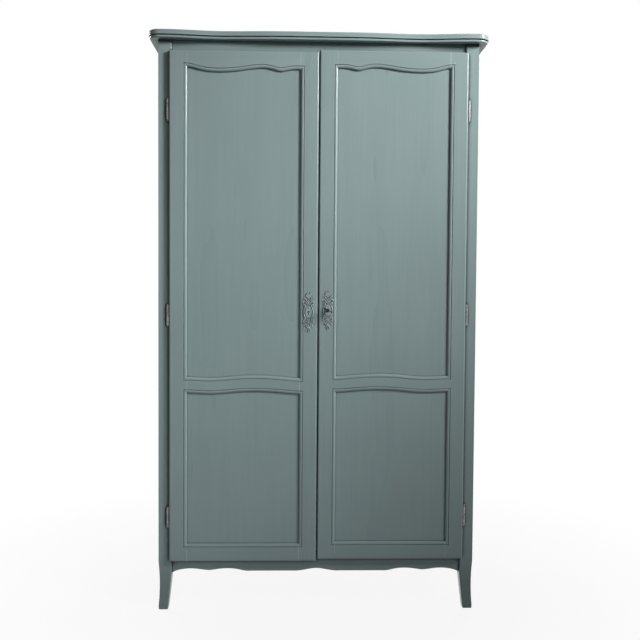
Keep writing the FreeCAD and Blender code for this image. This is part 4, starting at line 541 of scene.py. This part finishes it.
def painted_casting():
    """The same paint on cast metal, with painted shade in its hollows and its open faces painted a little
    lighter.
    """
    paint = bpy.context.scene.wardrobe_paint
    material, tree, shader, place = new_material("painted casting", specular=0.4)
    coat = paint_coat(tree, place, paint)
    # painted shade in the hollows, and painted light on the open faces
    hollow_shade = openness(tree, distance=0.009)
    proud = spread(tree, add(tree, "ShaderNodeNewGeometry").outputs["Pointiness"], 0.5, 0.56)
    patches = noise(tree, place, 300.0, detail=3.0)
    rubbed = times(tree, proud, spread(tree, patches, 0.4, 0.6, to_low=0.35, to_high=0.85))
    tint = blend(tree, rubbed, coat["Colour"], rgba(paint.undercoat))
    tint = shaded(tree, tint, spread(tree, hollow_shade, 0.5, 0.95, to_low=0.02, to_high=1.15))
    grit = noise(tree, place, 700.0, detail=3.0)
    feed(tree, shader.inputs, {
        "Base Color": tint, "Roughness": coat["Roughness"], "Normal": bumped(tree, grit, distance=0.00012),
    })
    return material


def bare(name, lies="upright", offset=(0, 0, 0), lighter=1.0):
    """Oiled bare wood whose grain runs along the piece."""
    wood = bpy.context.scene.wardrobe_wood
    material, tree, shader, place = new_material(name, wood.gloss)
    grain = use(tree, "sawn grain", {
        "Place": laid(tree, place, lies, offset), "Ring": wood.ring, "Early": rgba(wood.early, lighter),
        "Late": rgba(wood.late, lighter), "Roughness": wood.roughness,
    })
    edges = use(tree, "rubbed edges", {"Place": place, "Width": 0.001, "Amount": 0.5})
    feed(tree, shader.inputs, {
        "Base Color": blend(tree, edges["Mask"], grain["Colour"], rgba(wood.early, 1.3)),
        "Roughness": grain["Roughness"],
        "Normal": bumped(tree, grain["Height"], wood.pore_depth, edges["Normal"]),
    })
    return material


def metal(name, base, amount, rough, flakes=0.0):
    """Old metal with tarnish and, on the hinges, flakes of the case's paint."""
    kit = bpy.context.scene.wardrobe_metal
    material, tree, shader, place = new_material(name)
    aged = use(tree, "aged metal", {
        "Place": place, "Metal": rgba(base), "Tarnish": rgba(kit.tarnish),
        "Amount": amount, "Roughness": rough,
    })
    edges = use(tree, "rubbed edges", {"Place": place, "Width": 0.0005, "Amount": 0.8})
    tint = blend(tree, edges["Mask"], aged["Colour"], rgba(base, 2.0))
    clean = minus(tree, 1.0, times(tree, aged["Dull"], 0.75))
    if flakes:
        patches = noise(tree, place, 210.0, detail=4.0, rough=0.6)
        flake = times(tree, spread(tree, patches, 0.56, 0.6), flakes)
        tint = blend(tree, flake, tint, rgba(bpy.context.scene.wardrobe_paint.undercoat))
        clean = times(tree, clean, minus(tree, 1.0, flake))
    feed(tree, shader.inputs, {
        "Base Color": tint, "Metallic": clean, "Roughness": aged["Roughness"],
        "Normal": bumped(tree, aged["Height"], kit.pit_depth, edges["Normal"]),
    })
    return material


def dress(material, *names):
    """Gives nodes of the solid model a better material."""
    for name in names:
        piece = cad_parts[name]
        for slot in piece.material_slots:
            slot.material = material
        if not piece.material_slots:
            piece.data.materials.append(material)


# Helpers for meshes

def linked(name, data, material=None):
    """A new object of a mesh, curve, camera or lamp, at the origin."""
    piece = bpy.data.objects.new(name, data)
    bpy.context.scene.collection.objects.link(piece)
    if material:
        data.materials.clear()
        data.materials.append(material)
    return piece


def settled(piece):
    """A plain mesh of what an object's modifiers or curve make, in place of the object."""
    bpy.context.view_layer.update()
    graph = bpy.context.evaluated_depsgraph_get()
    mesh = bpy.data.meshes.new_from_object(piece.evaluated_get(graph))
    bpy.data.objects.remove(piece)
    return mesh


def modified(mesh, kind, **settings):
    """A mesh changed by one modifier."""
    holder = linked("worked", mesh)
    modifier = holder.modifiers.new(kind.lower(), kind)
    for name, setting in settings.items():
        setattr(modifier, name, setting)
    return settled(holder)


def joined(meshes):
    """Several meshes as one."""
    whole = bmesh.new()
    for mesh in meshes:
        whole.from_mesh(mesh)
        bpy.data.meshes.remove(mesh)
    mesh = bpy.data.meshes.new("joined")
    whole.to_mesh(mesh)
    whole.free()
    return mesh


# The escutcheons' ornament, in mm from the keyhole
# Each scroll is a line of points and its thickness at the start, in the middle and at the end

SCROLLS = (
    (((13.2, 20.4), (15.8, 21.4), (16.6, 24.4), (14.0, 26.6), (10.6, 25.2), (9.6, 21.4), (12.2, 14.2),
      (15.2, 6.2), (16.2, -2.0), (14.6, -11.6), (11.0, -19.4), (9.2, -24.4), (10.6, -28.8), (14.2, -29.8),
      (16.2, -27.0), (14.6, -24.6), (12.8, -25.6)), (1.2, 2.0, 1.2)),
    (((1.6, 23.6), (4.8, 28.6), (8.6, 33.4), (13.6, 37.2), (17.8, 36.6), (19.2, 33.4), (17.0, 30.8),
      (14.6, 31.8), (14.8, 33.8)), (1.5, 1.9, 1.1)),
    (((2.0, 31.5), (4.8, 37.4), (8.6, 42.8), (11.0, 48.0), (9.2, 51.8), (5.8, 51.2), (5.2, 48.4)),
     (1.1, 1.7, 1.1)),
    (((1.2, 44.0), (4.4, 52.0), (7.6, 58.0), (10.2, 62.4)), (0.9, 2.2, 0.7)),
    (((0.8, 50.0), (3.0, 58.6), (5.2, 64.0), (6.6, 68.6)), (0.9, 2.1, 0.7)),
    (((9.4, 44.6), (13.4, 45.6), (16.0, 48.8), (15.4, 52.0), (13.0, 51.4)), (0.9, 1.5, 1.0)),
    (((2.2, -23.6), (4.8, -30.4), (9.0, -35.0), (14.0, -37.0), (17.6, -34.6), (17.0, -31.6), (14.2, -32.0)),
     (1.4, 1.8, 1.1)),
    (((1.6, -31.0), (4.6, -38.2), (8.0, -43.6), (8.6, -49.0), (5.4, -51.4), (3.8, -48.8)), (1.1, 1.6, 1.1)),
    (((9.6, -42.6), (12.8, -44.8), (13.0, -48.4), (10.8, -49.0)), (0.8, 1.4, 0.9)),
    (((0.9, -45.0), (3.4, -54.0), (5.6, -60.0), (6.2, -64.6)), (0.9, 1.9, 0.7)),
)
MIDDLE = (
    (((0.0, 26.5), (0.0, 33.0), (0.0, 39.0)), (2.3, 1.6, 2.5)),
    (((0.0, 46.0), (0.0, 60.0), (0.0, 71.4)), (1.1, 2.7, 0.9)),
    (((0.0, -25.5), (0.0, -32.0), (0.0, -38.5)), (2.1, 1.5, 2.3)),
    (((0.0, -44.0), (0.0, -58.0), (0.0, -71.0)), (1.1, 2.5, 0.9)),
)
OVAL_DROP = 2.0         # how far the boss's middle lies below the keyhole's round
BOSS = (7.4, 14.6)      # half width and half height
BOSS_HALF_DEPTH = 0.9
BOSS_ROUNDING = 0.7
BOSS_MIDDLE = 1.3       # height of the boss's middle above the door
LOW_RING = (10.4, 18.6)
HIGH_RING = (9.6, 17.6)
HOLE_MARGIN = 1.18      # the hole is cut wider, as the cast closes it a little
SLOT_MARGIN = 1.3


def eased(at, profile):
    """Thickness along a scroll, from its start through its middle to its end."""
    start, middle, end = profile
    bulge = math.sin(math.pi * at)
    return (start * (1 - at) + end * at) * (1 - bulge) + middle * bulge


def scroll_mesh(points, profile, grow, flatness, rise, closed=False):
    """A flattened tube of changing thickness through some points, in mm."""
    data = bpy.data.curves.new("scroll", "CURVE")
    data.dimensions = "3D"
    data.bevel_depth = 1.0
    data.bevel_resolution = 3
    data.resolution_u = 8
    data.use_fill_caps = True
    line = data.splines.new("NURBS")
    line.points.add(len(points) - 1)
    for i, (point, (x, z)) in enumerate(zip(line.points, points)):
        point.co = (x, 0, z, 1)
        point.radius = eased(i / (len(points) - 1), profile) + grow
    line.order_u = 3
    line.use_endpoint_u = not closed
    line.use_cyclic_u = closed
    mesh = settled(linked("scroll", data))
    mesh.transform(Matrix.Diagonal((1, flatness, 1, 1)))
    mesh.transform(Matrix.Translation((0, -rise, 0)))
    return mesh


def oval(half_width, half_height, steps=40):
    """Points of an oval about the boss's middle."""
    turns = [2 * math.pi * i / steps for i in range(steps)]
    return [(half_width * math.cos(t), half_height * math.sin(t) - OVAL_DROP) for t in turns]


def ring_mesh(sizes, thickness, grow, flatness, rise):
    """An oval ring of one thickness, in mm."""
    return scroll_mesh(oval(*sizes), (thickness,) * 3, grow, flatness, rise, closed=True)


def keyhole_outline(sizes, steps=28):
    """Points of the keyhole's round and, below it, its slot, in mm."""
    radius, half_slot, drop = sizes.keyhole / MM, sizes.slot / MM / 2, sizes.slot_drop / MM
    start = math.asin(half_slot / radius)
    turns = [-math.pi / 2 + start + (2 * math.pi - 2 * start) * i / steps for i in range(steps + 1)]
    hole = [(radius * math.cos(t) * HOLE_MARGIN, radius * math.sin(t) * HOLE_MARGIN) for t in turns]
    return hole + [(-half_slot * SLOT_MARGIN, -drop), (half_slot * SLOT_MARGIN, -drop)]


def boss_mesh(sizes):
    """The oval boss with its keyhole, in mm."""
    data = bpy.data.curves.new("boss", "CURVE")
    data.dimensions = "2D"
    data.fill_mode = "BOTH"
    data.extrude = BOSS_HALF_DEPTH
    data.bevel_depth = BOSS_ROUNDING
    data.bevel_resolution = 3
    for outline in (oval(*BOSS), keyhole_outline(sizes)):
        line = data.splines.new("POLY")
        line.points.add(len(outline) - 1)
        for point, (x, z) in zip(line.points, outline):
            point.co = (x, z, 0, 1)
        line.use_cyclic_u = True
    mesh = settled(linked("boss", data))
    mesh.transform(Matrix.Rotation(math.pi / 2, 4, "X"))
    mesh.transform(Matrix.Translation((0, -BOSS_MIDDLE, 0)))
    return mesh


def cast_plate(sizes):
    """One escutcheon as a cast, in mm, its back on the plane y = 0."""
    web, rise, relief = sizes.web / MM, sizes.web_rise / MM, sizes.relief / MM
    strokes = list(MIDDLE)
    for points, profile in SCROLLS:
        strokes.append((points, profile))
        strokes.append((tuple((-x, z) for x, z in points), profile))
    meshes = [boss_mesh(sizes)]
    for points, profile in strokes:
        widest = max(profile) + web
        meshes.append(scroll_mesh(points, profile, web, rise / 2 / widest, rise / 2))
        meshes.append(scroll_mesh(points, profile, 0, sizes.flatness, relief))
    meshes.append(ring_mesh(LOW_RING, thickness=1.2, grow=1.0, flatness=0.35, rise=0.8))
    meshes.append(ring_mesh(HIGH_RING, thickness=1.25, grow=0, flatness=0.9, rise=1.9))
    whole = joined(meshes)
    whole = modified(whole, "REMESH", mode="VOXEL", voxel_size=sizes.voxel / MM, use_smooth_shade=True)
    whole = modified(whole, "SMOOTH", factor=0.5, iterations=3)
    for vertex in whole.vertices:
        vertex.co.y = min(vertex.co.y, 0.0)
    return whole


class WARDROBE_OT_escutcheons(bpy.types.Operator):
    """Casts the two scrolled escutcheons in place of the plain plates"""
    bl_idname = "wardrobe.escutcheons"
    bl_label = "Escutcheons"

    def execute(self, context):
        cast = cast_plate(context.scene.wardrobe_escutcheon)
        material = painted_casting()
        for side in DOORS:
            low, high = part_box(f"{side}_escutcheon")
            mesh = cast.copy()
            mesh.transform(Matrix.Diagonal((MM, MM, MM, 1)))
            centre = Vector(((low.x + high.x) / 2, high.y, (low.z + high.z) / 2))
            mesh.transform(Matrix.Translation(centre))
            piece = linked(f"{side}_cast_escutcheon", mesh, material)
            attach(piece, f"{side}_door")
            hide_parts(f"{side}_escutcheon")
        return {"FINISHED"}


class WARDROBE_OT_joinery(bpy.types.Operator):
    """Paints the case's and the doors' frames, panels and top board"""
    bl_idname = "wardrobe.joinery"
    bl_label = "Painted joinery"

    def execute(self, context):
        upright = painted("painted upright")
        panel = painted("painted panel", offset=(0.37, 0.2, 0.11))
        # the frieze gets a wide painted shade under the cornice; the apron, cornice and front posts get a deep
        # one in their recesses
        frieze = painted("painted frieze", "level", (0.1, 0.3, 0.7), corner="wide", shade_scale=0.45)
        deep = painted("painted deep", "deep", (0.5, 0.1, 0.2))
        rail = painted("painted rail", "level", (0.9, 0.1, 0.4), cracks=True)
        apron = painted("painted apron", "level", (0.4, 0.1, 0.8), corner="deep")
        cornice = painted("painted cornice", "level", (0.2, 0.5, 0.6), corner="deep", shade_scale=0.8, duller=0.2)
        for side in DOORS:
            post = painted(f"painted {side} post", hinge_shade=hinge_shade_sizes(side), corner="deep")
            dress(post, f"front_post_{side}")
            dress(upright, f"rear_post_{side}", f"{side}_hinge_stile", f"{side}_meeting_stile")
            dress(rail, f"{side}_top_rail", f"{side}_mid_rail", f"{side}_bottom_rail")
            dress(panel, f"{side}_upper_panel", f"{side}_lower_panel")
            dress(panel, f"side_upper_panel_{side}", f"side_lower_panel_{side}")
            dress(deep, f"side_top_rail_{side}", f"side_mid_rail_{side}", f"side_bottom_rail_{side}")
        dress(frieze, "front_top_rail")
        dress(apron, "front_apron")
        dress(cornice, "cornice_board")
        return {"FINISHED"}


class WARDROBE_OT_bare_boards(bpy.types.Operator):
    """Gives the boards inside and at the back their bare wood"""
    bl_idname = "wardrobe.bare_boards"
    bl_label = "Bare boards"

    def execute(self, context):
        dress(bare("bare shelf", "level", (0.2, 0.4, 0.1)), "floor_board", "hat_shelf")
        dress(bare("bare cleat", "deep"), "shelf_cleats")
        dress(bare("bare back rail", "level", (0.7, 0.1, 0.3), 0.9), "back_top_rail", "back_bottom_rail")
        dress(bare("bare muntin", offset=(0.3, 0.6, 0.2), lighter=0.9), "back_muntin")
        panel = bare("bare back panel", offset=(0.05, 0.3, 0.5), lighter=0.8)
        dress(panel, "back_panel_left", "back_panel_right")
        dress(bare("turned rail", "level", (0.4, 0.5, 0.6), 1.15), "hanging_rail")
        return {"FINISHED"}


class WARDROBE_OT_fittings(bpy.types.Operator):
    """Gives hinges, lock, bolts, key and sockets their old metal"""
    bl_idname = "wardrobe.fittings"
    bl_label = "Metal fittings"

    def execute(self, context):
        kit = context.scene.wardrobe_metal
        iron = metal("aged iron", kit.iron, amount=0.6, rough=0.34, flakes=0.75)
        steel = metal("dull steel", kit.steel, amount=0.7, rough=0.36)
        dress(iron, *(f"hinge_{part}_halves_{side}" for part in ("case", "door") for side in DOORS))
        dress(steel, "lock_case", "strike_plate", "upper_bolt_case", "lower_bolt_case", "bolt_keepers")
        dress(steel, "lock_bolt", "upper_bolt", "lower_bolt")
        dress(metal("old key", kit.key_steel, amount=0.5, rough=0.4), "key")
        dress(metal("dull brass", kit.brass, amount=0.55, rough=0.34), "rail_sockets")
        return {"FINISHED"}


# Screws

SCREW_HOMES = {
    "case_screws": "case", "cleat_screws": "case",
    "left_door_screws": "left_door", "right_door_screws": "right_door",
}
SHANK = 0.5   # radius of a screw's shank as a share of its head's


def islands(name):
    """The separate solids of a node, each as a list of its corners."""
    work = bmesh.new()
    work.from_mesh(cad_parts[name].data)
    bmesh.ops.remove_doubles(work, verts=work.verts, dist=1e-6)
    left = set(work.verts)
    found = []
    while left:
        group, queue = [], [left.pop()]
        while queue:
            vertex = queue.pop()
            group.append(vertex.co.copy())
            for edge in vertex.link_edges:
                other = edge.other_vert(vertex)
                if other in left:
                    left.remove(other)
                    queue.append(other)
        found.append(group)
    work.free()
    return found


def screw_place(corners):
    """Where a screw's head is, which way it faces, its radius and the screw's length."""
    low = Vector([min(c[i] for c in corners) for i in range(3)])
    high = Vector([max(c[i] for c in corners) for i in range(3)])
    size = high - low
    along = max(range(3), key=lambda i: size[i])
    across = [i for i in range(3) if i != along]
    radius = max(size[i] for i in across) / 2
    middle = (low + high) / 2

    def reach(end):
        near = [c for c in corners if abs(c[along] - end) < size[along] / 20]
        return max(math.hypot(*(c[i] - middle[i] for i in across)) for c in near)

    head = high[along] if reach(high[along]) > reach(low[along]) else low[along]
    middle[along] = head
    facing = Vector((0, 0, 0))
    facing[along] = 1 if head == high[along] else -1
    return middle, facing, radius, size[along]


def slotted_screw(sizes, tall):
    """A countersunk screw of head radius 1 about +Z, its face at height 0, with a slot cut in its head."""
    face = ((0, 0), (0.94, 0), (1, -0.05), (1, -0.12))
    shank = ((SHANK, -0.66), (SHANK, -0.85 * tall), (0, -tall))
    work = bmesh.new()
    verts = [work.verts.new((r, 0, z)) for r, z in face + shank]
    edges = [work.edges.new(pair) for pair in zip(verts, verts[1:])]
    bmesh.ops.spin(work, geom=verts + edges, axis=(0, 0, 1), angle=2 * math.pi, steps=sizes.sides)
    bmesh.ops.remove_doubles(work, verts=work.verts, dist=1e-5)
    bmesh.ops.recalc_face_normals(work, faces=work.faces)
    mesh = bpy.data.meshes.new("screw")
    work.to_mesh(mesh)
    work.clear()
    bmesh.ops.create_cube(work, size=1.0)
    bmesh.ops.scale(work, vec=(2.4, sizes.slot, 2 * sizes.depth), verts=work.verts)
    cutter = bpy.data.meshes.new("slot")
    work.to_mesh(cutter)
    work.free()
    tool = linked("slot", cutter)
    cut = modified(mesh, "BOOLEAN", operation="DIFFERENCE", object=tool, solver="EXACT")
    bpy.data.objects.remove(tool)
    return cut


def screw_tree():
    """Geometry nodes that set a screw on each point, facing and sized as the point says."""
    tree = bpy.data.node_groups.new("set screws", "GeometryNodeTree")
    inputs = {"Geometry": "Geometry", "Screw": "Object", "Finish": "Material", "Seed": "Int"}
    for label, kind in inputs.items():
        tree.interface.new_socket(name=label, in_out="INPUT", socket_type=f"NodeSocket{kind}")
    tree.interface.new_socket(name="Geometry", in_out="OUTPUT", socket_type="NodeSocketGeometry")
    given = tree.nodes.new("NodeGroupInput").outputs
    points = add(tree, "GeometryNodeMeshToPoints", {"Mesh": given["Geometry"]}).outputs[0]
    screw = add(tree, "GeometryNodeObjectInfo", {"Object": given["Screw"]}).outputs["Geometry"]
    read = "GeometryNodeInputNamedAttribute"
    facing = add(tree, read, {"Name": "facing"}, data_type="FLOAT_VECTOR").outputs[0]
    radius = add(tree, read, {"Name": "head"}, data_type="FLOAT").outputs[0]
    aimed = add(tree, "FunctionNodeAlignRotationToVector", {"Vector": facing}, axis="Z").outputs[0]
    chance = {2: 0.0, 3: math.pi, "Seed": given["Seed"]}
    angle = add(tree, "FunctionNodeRandomValue", chance, data_type="FLOAT").outputs[1]
    twist = add(tree, "FunctionNodeAxisAngleToRotation", {"Angle": angle}).outputs[0]
    both = add(tree, "FunctionNodeRotateRotation", {0: aimed, 1: twist}, rotation_space="LOCAL").outputs[0]
    placed = add(tree, "GeometryNodeInstanceOnPoints", {
        "Points": points, "Instance": screw, "Rotation": both, "Scale": radius,
    }).outputs[0]
    real = add(tree, "GeometryNodeRealizeInstances", {0: placed}).outputs[0]
    finish = {"Geometry": real, "Material": given["Finish"]}
    finished = add(tree, "GeometryNodeSetMaterial", finish).outputs[0]
    add(tree, "NodeGroupOutput", {0: finished})
    return tree


def screw_points(name, places):
    """A point for each screw, with the way it faces and its head's radius."""
    points = bpy.data.meshes.new(name)
    points.from_pydata([place[0] for place in places], [], [])
    facing = points.attributes.new("facing", "FLOAT_VECTOR", "POINT")
    for item, place in zip(facing.data, places):
        item.vector = place[1]   # filled first, as the next attribute moves this one
    head = points.attributes.new("head", "FLOAT", "POINT")
    for item, place in zip(head.data, places):
        item.value = place[2]
    return points


class WARDROBE_OT_screws(bpy.types.Operator):
    """Sets slotted screws in place of the plain ones"""
    bl_idname = "wardrobe.screws"
    bl_label = "Screws"

    def execute(self, context):
        sizes = context.scene.wardrobe_screws
        tree = screw_tree()
        keys = {item.name: item.identifier for item in tree.interface.items_tree if item.in_out == "INPUT"}
        steel = metal("screw steel", context.scene.wardrobe_metal.steel, amount=0.8, rough=0.4)
        for name, body in SCREW_HOMES.items():
            places = [screw_place(corners) for corners in islands(name)]
            radius, tall = places[0][2:]
            screw = linked("screw", slotted_screw(sizes, tall / radius))
            piece = linked(f"slotted_{name}", screw_points(f"slotted_{name}", places))
            modifier = piece.modifiers.new("screws", "NODES")
            modifier.node_group = tree
            modifier[keys["Screw"]] = screw
            modifier[keys["Finish"]] = steel
            modifier[keys["Seed"]] = sizes.seed
            piece = linked(f"slotted_{name}", settled(piece), steel)
            bpy.data.objects.remove(screw)
            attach(piece, body)
            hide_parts(name)
        return {"FINISHED"}


# The stage

# Each lamp's name, power, place, target, width and height, spread in degrees and tint
LAMPS = (
    ("window", "key_lamp", (2.45, -1.9, 2.88), (0.06, -0.25, 1.8), (0.7, 0.9), 63, (1.0, 1.0, 0.985)),
    ("front", "fill_lamp", (1.87, -3.4, 1.6), (-0.82, -0.25, 0.7), (0.9, 0.9), 38, (0.93, 0.985, 1.0)),
    ("rear left", "rear_lamp", (-2.4, 1.7, 2.0), (-0.5, 0.0, 1.0), (0.8, 1.6), 90, WHITE),
    ("rear right", "rear_lamp", (1.9, 3.0, 2.2), (0.2, 0.2, 1.0), (0.8, 1.6), 90, WHITE),
)


def camera_pose(stage):
    """The camera's matrix from its place and turns."""
    yaw, pitch, roll = stage.yaw, stage.pitch, stage.roll
    ahead = Vector((math.sin(yaw) * math.cos(pitch), math.cos(yaw) * math.cos(pitch), -math.sin(pitch)))
    right = Vector((math.cos(yaw), -math.sin(yaw), 0))
    up = right.cross(ahead)
    side = math.cos(roll) * right + math.sin(roll) * up
    top = -math.sin(roll) * right + math.cos(roll) * up
    turned = Matrix((side, top, -ahead)).transposed().to_4x4()
    return Matrix.Translation(stage.eye) @ turned


def lamp(name, watts, place, target, size, degrees, tint):
    """A soft lamp that looks at a point."""
    data = bpy.data.lights.new(name, "AREA")
    data.shape = "RECTANGLE"
    data.size, data.size_y = size
    data.spread = math.radians(degrees)
    data.energy = watts
    data.color = tint
    aim = (Vector(target) - Vector(place)).to_track_quat("-Z", "Y")
    linked(name, data).matrix_world = Matrix.Translation(place) @ aim.to_matrix().to_4x4()


def seen(tree):
    """One where a ray comes from the camera, a reflection or a clear piece."""
    path = add(tree, "ShaderNodeLightPath").outputs
    either = maths(tree, "MAXIMUM", path["Is Camera Ray"], path["Is Glossy Ray"])
    return maths(tree, "MAXIMUM", either, path["Is Transmission Ray"])


class WARDROBE_OT_stage(bpy.types.Operator):
    """Sets the camera, the lamps, the white surroundings and the pale floor"""
    bl_idname = "wardrobe.stage"
    bl_label = "Stage"

    def execute(self, context):
        scene, stage = context.scene, context.scene.wardrobe_stage
        data = bpy.data.cameras.new("camera")
        data.lens = stage.lens
        data.sensor_width = 36
        data.clip_end = 100
        scene.camera = linked("camera", data)
        scene.camera.matrix_world = camera_pose(stage)
        scene.view_settings.view_transform = "Standard"
        for name, setting, *place in LAMPS:
            lamp(name, getattr(stage, setting), *place)
        self.surroundings(stage)
        self.floor(stage)
        return {"FINISHED"}

    def surroundings(self, stage):
        """White to the camera, and a dim light that is brighter from above."""
        world = bpy.data.worlds.new("surroundings")
        bpy.context.scene.world = world
        world.use_nodes = True
        tree = world.node_tree
        backdrop = next(n for n in tree.nodes if n.type == "BACKGROUND")
        high, low = stage.ambient, stage.ambient * stage.ambient_below
        way = add(tree, "ShaderNodeTexCoord").outputs["Generated"]
        rise = spread(tree, axes(tree, way)["Z"], -0.5, 0.6)
        sky = blend(tree, rise, (low, low, low * 1.04, 1), (high, high, high * 1.03, 1))
        feed(tree, backdrop.inputs, {"Color": blend(tree, seen(tree), sky, rgba(WHITE))})

    def floor(self, stage):
        """A pale floor that keeps the wardrobe's shadow and fades into the white."""
        work = bmesh.new()
        bmesh.ops.create_grid(work, x_segments=8, y_segments=8, size=stage.floor_size / 2)
        mesh = bpy.data.meshes.new("floor")
        work.to_mesh(mesh)
        work.free()
        material = bpy.data.materials.new("pale floor")
        material.use_nodes = True
        tree = material.node_tree
        tree.nodes.clear()
        place = add(tree, "ShaderNodeTexCoord").outputs["Object"]
        away = add(tree, "ShaderNodeVectorMath", {0: place}, operation="LENGTH").outputs["Value"]
        speckle = noise(tree, place, 90.0, detail=3.0)
        tint = blend(tree, speckle, rgba(stage.floor_tint), rgba(stage.floor_tint, 1.1))
        matt = add(tree, "ShaderNodeBsdfDiffuse", {"Color": tint}).outputs[0]
        glow = add(tree, "ShaderNodeEmission", {"Color": rgba(WHITE), "Strength": 1.0}).outputs[0]
        glare = spread(tree, away, stage.shadow_inner, stage.shadow_outer, to_low=stage.floor_glow)
        bright = times(tree, seen(tree), glare)
        mixed = add(tree, "ShaderNodeMixShader", {0: bright, 1: matt, 2: glow}).outputs[0]
        add(tree, "ShaderNodeOutputMaterial", {"Surface": mixed})
        linked("floor", mesh, material)


class WARDROBE_PT_panel(bpy.types.Panel):
    """Lists the wardrobe's settings and steps"""
    bl_idname = "WARDROBE_PT_panel"
    bl_label = "Wardrobe"
    bl_space_type = "VIEW_3D"
    bl_region_type = "UI"
    bl_category = "Wardrobe"

    def draw(self, context):
        for name in SETTINGS:
            group = getattr(context.scene, name)
            column = self.layout.box().column()
            for prop in group.bl_rna.properties:
                if prop.identifier not in ("rna_type", "name"):
                    column.prop(group, prop.identifier)
        for step in STEPS:
            self.layout.operator(step.bl_idname)


SETTINGS = {
    "wardrobe_paint": PaintSettings, "wardrobe_wood": WoodSettings, "wardrobe_metal": MetalSettings,
    "wardrobe_escutcheon": EscutcheonSettings, "wardrobe_screws": ScrewSettings,
    "wardrobe_stage": StageSettings,
}
STEPS = (
    WARDROBE_OT_stage, WARDROBE_OT_joinery, WARDROBE_OT_bare_boards, WARDROBE_OT_fittings,
    WARDROBE_OT_escutcheons, WARDROBE_OT_screws,
)


def register():
    """Makes the settings, the steps and the panel known."""
    for name, group in SETTINGS.items():
        bpy.utils.register_class(group)
        setattr(bpy.types.Scene, name, PointerProperty(type=group))
    for step in (*STEPS, WARDROBE_PT_panel):
        bpy.utils.register_class(step)


def unregister():
    """Takes them away again."""
    for step in (WARDROBE_PT_panel, *reversed(STEPS)):
        bpy.utils.unregister_class(step)
    for name, group in SETTINGS.items():
        delattr(bpy.types.Scene, name)
        bpy.utils.unregister_class(group)


def main():
    """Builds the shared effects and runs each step."""
    register()
    for effect in EFFECTS:
        effect()
    bpy.ops.wardrobe.stage()
    bpy.ops.wardrobe.joinery()
    bpy.ops.wardrobe.bare_boards()
    bpy.ops.wardrobe.fittings()
    bpy.ops.wardrobe.escutcheons()
    bpy.ops.wardrobe.screws()


if __name__ == "__main__":
    main()
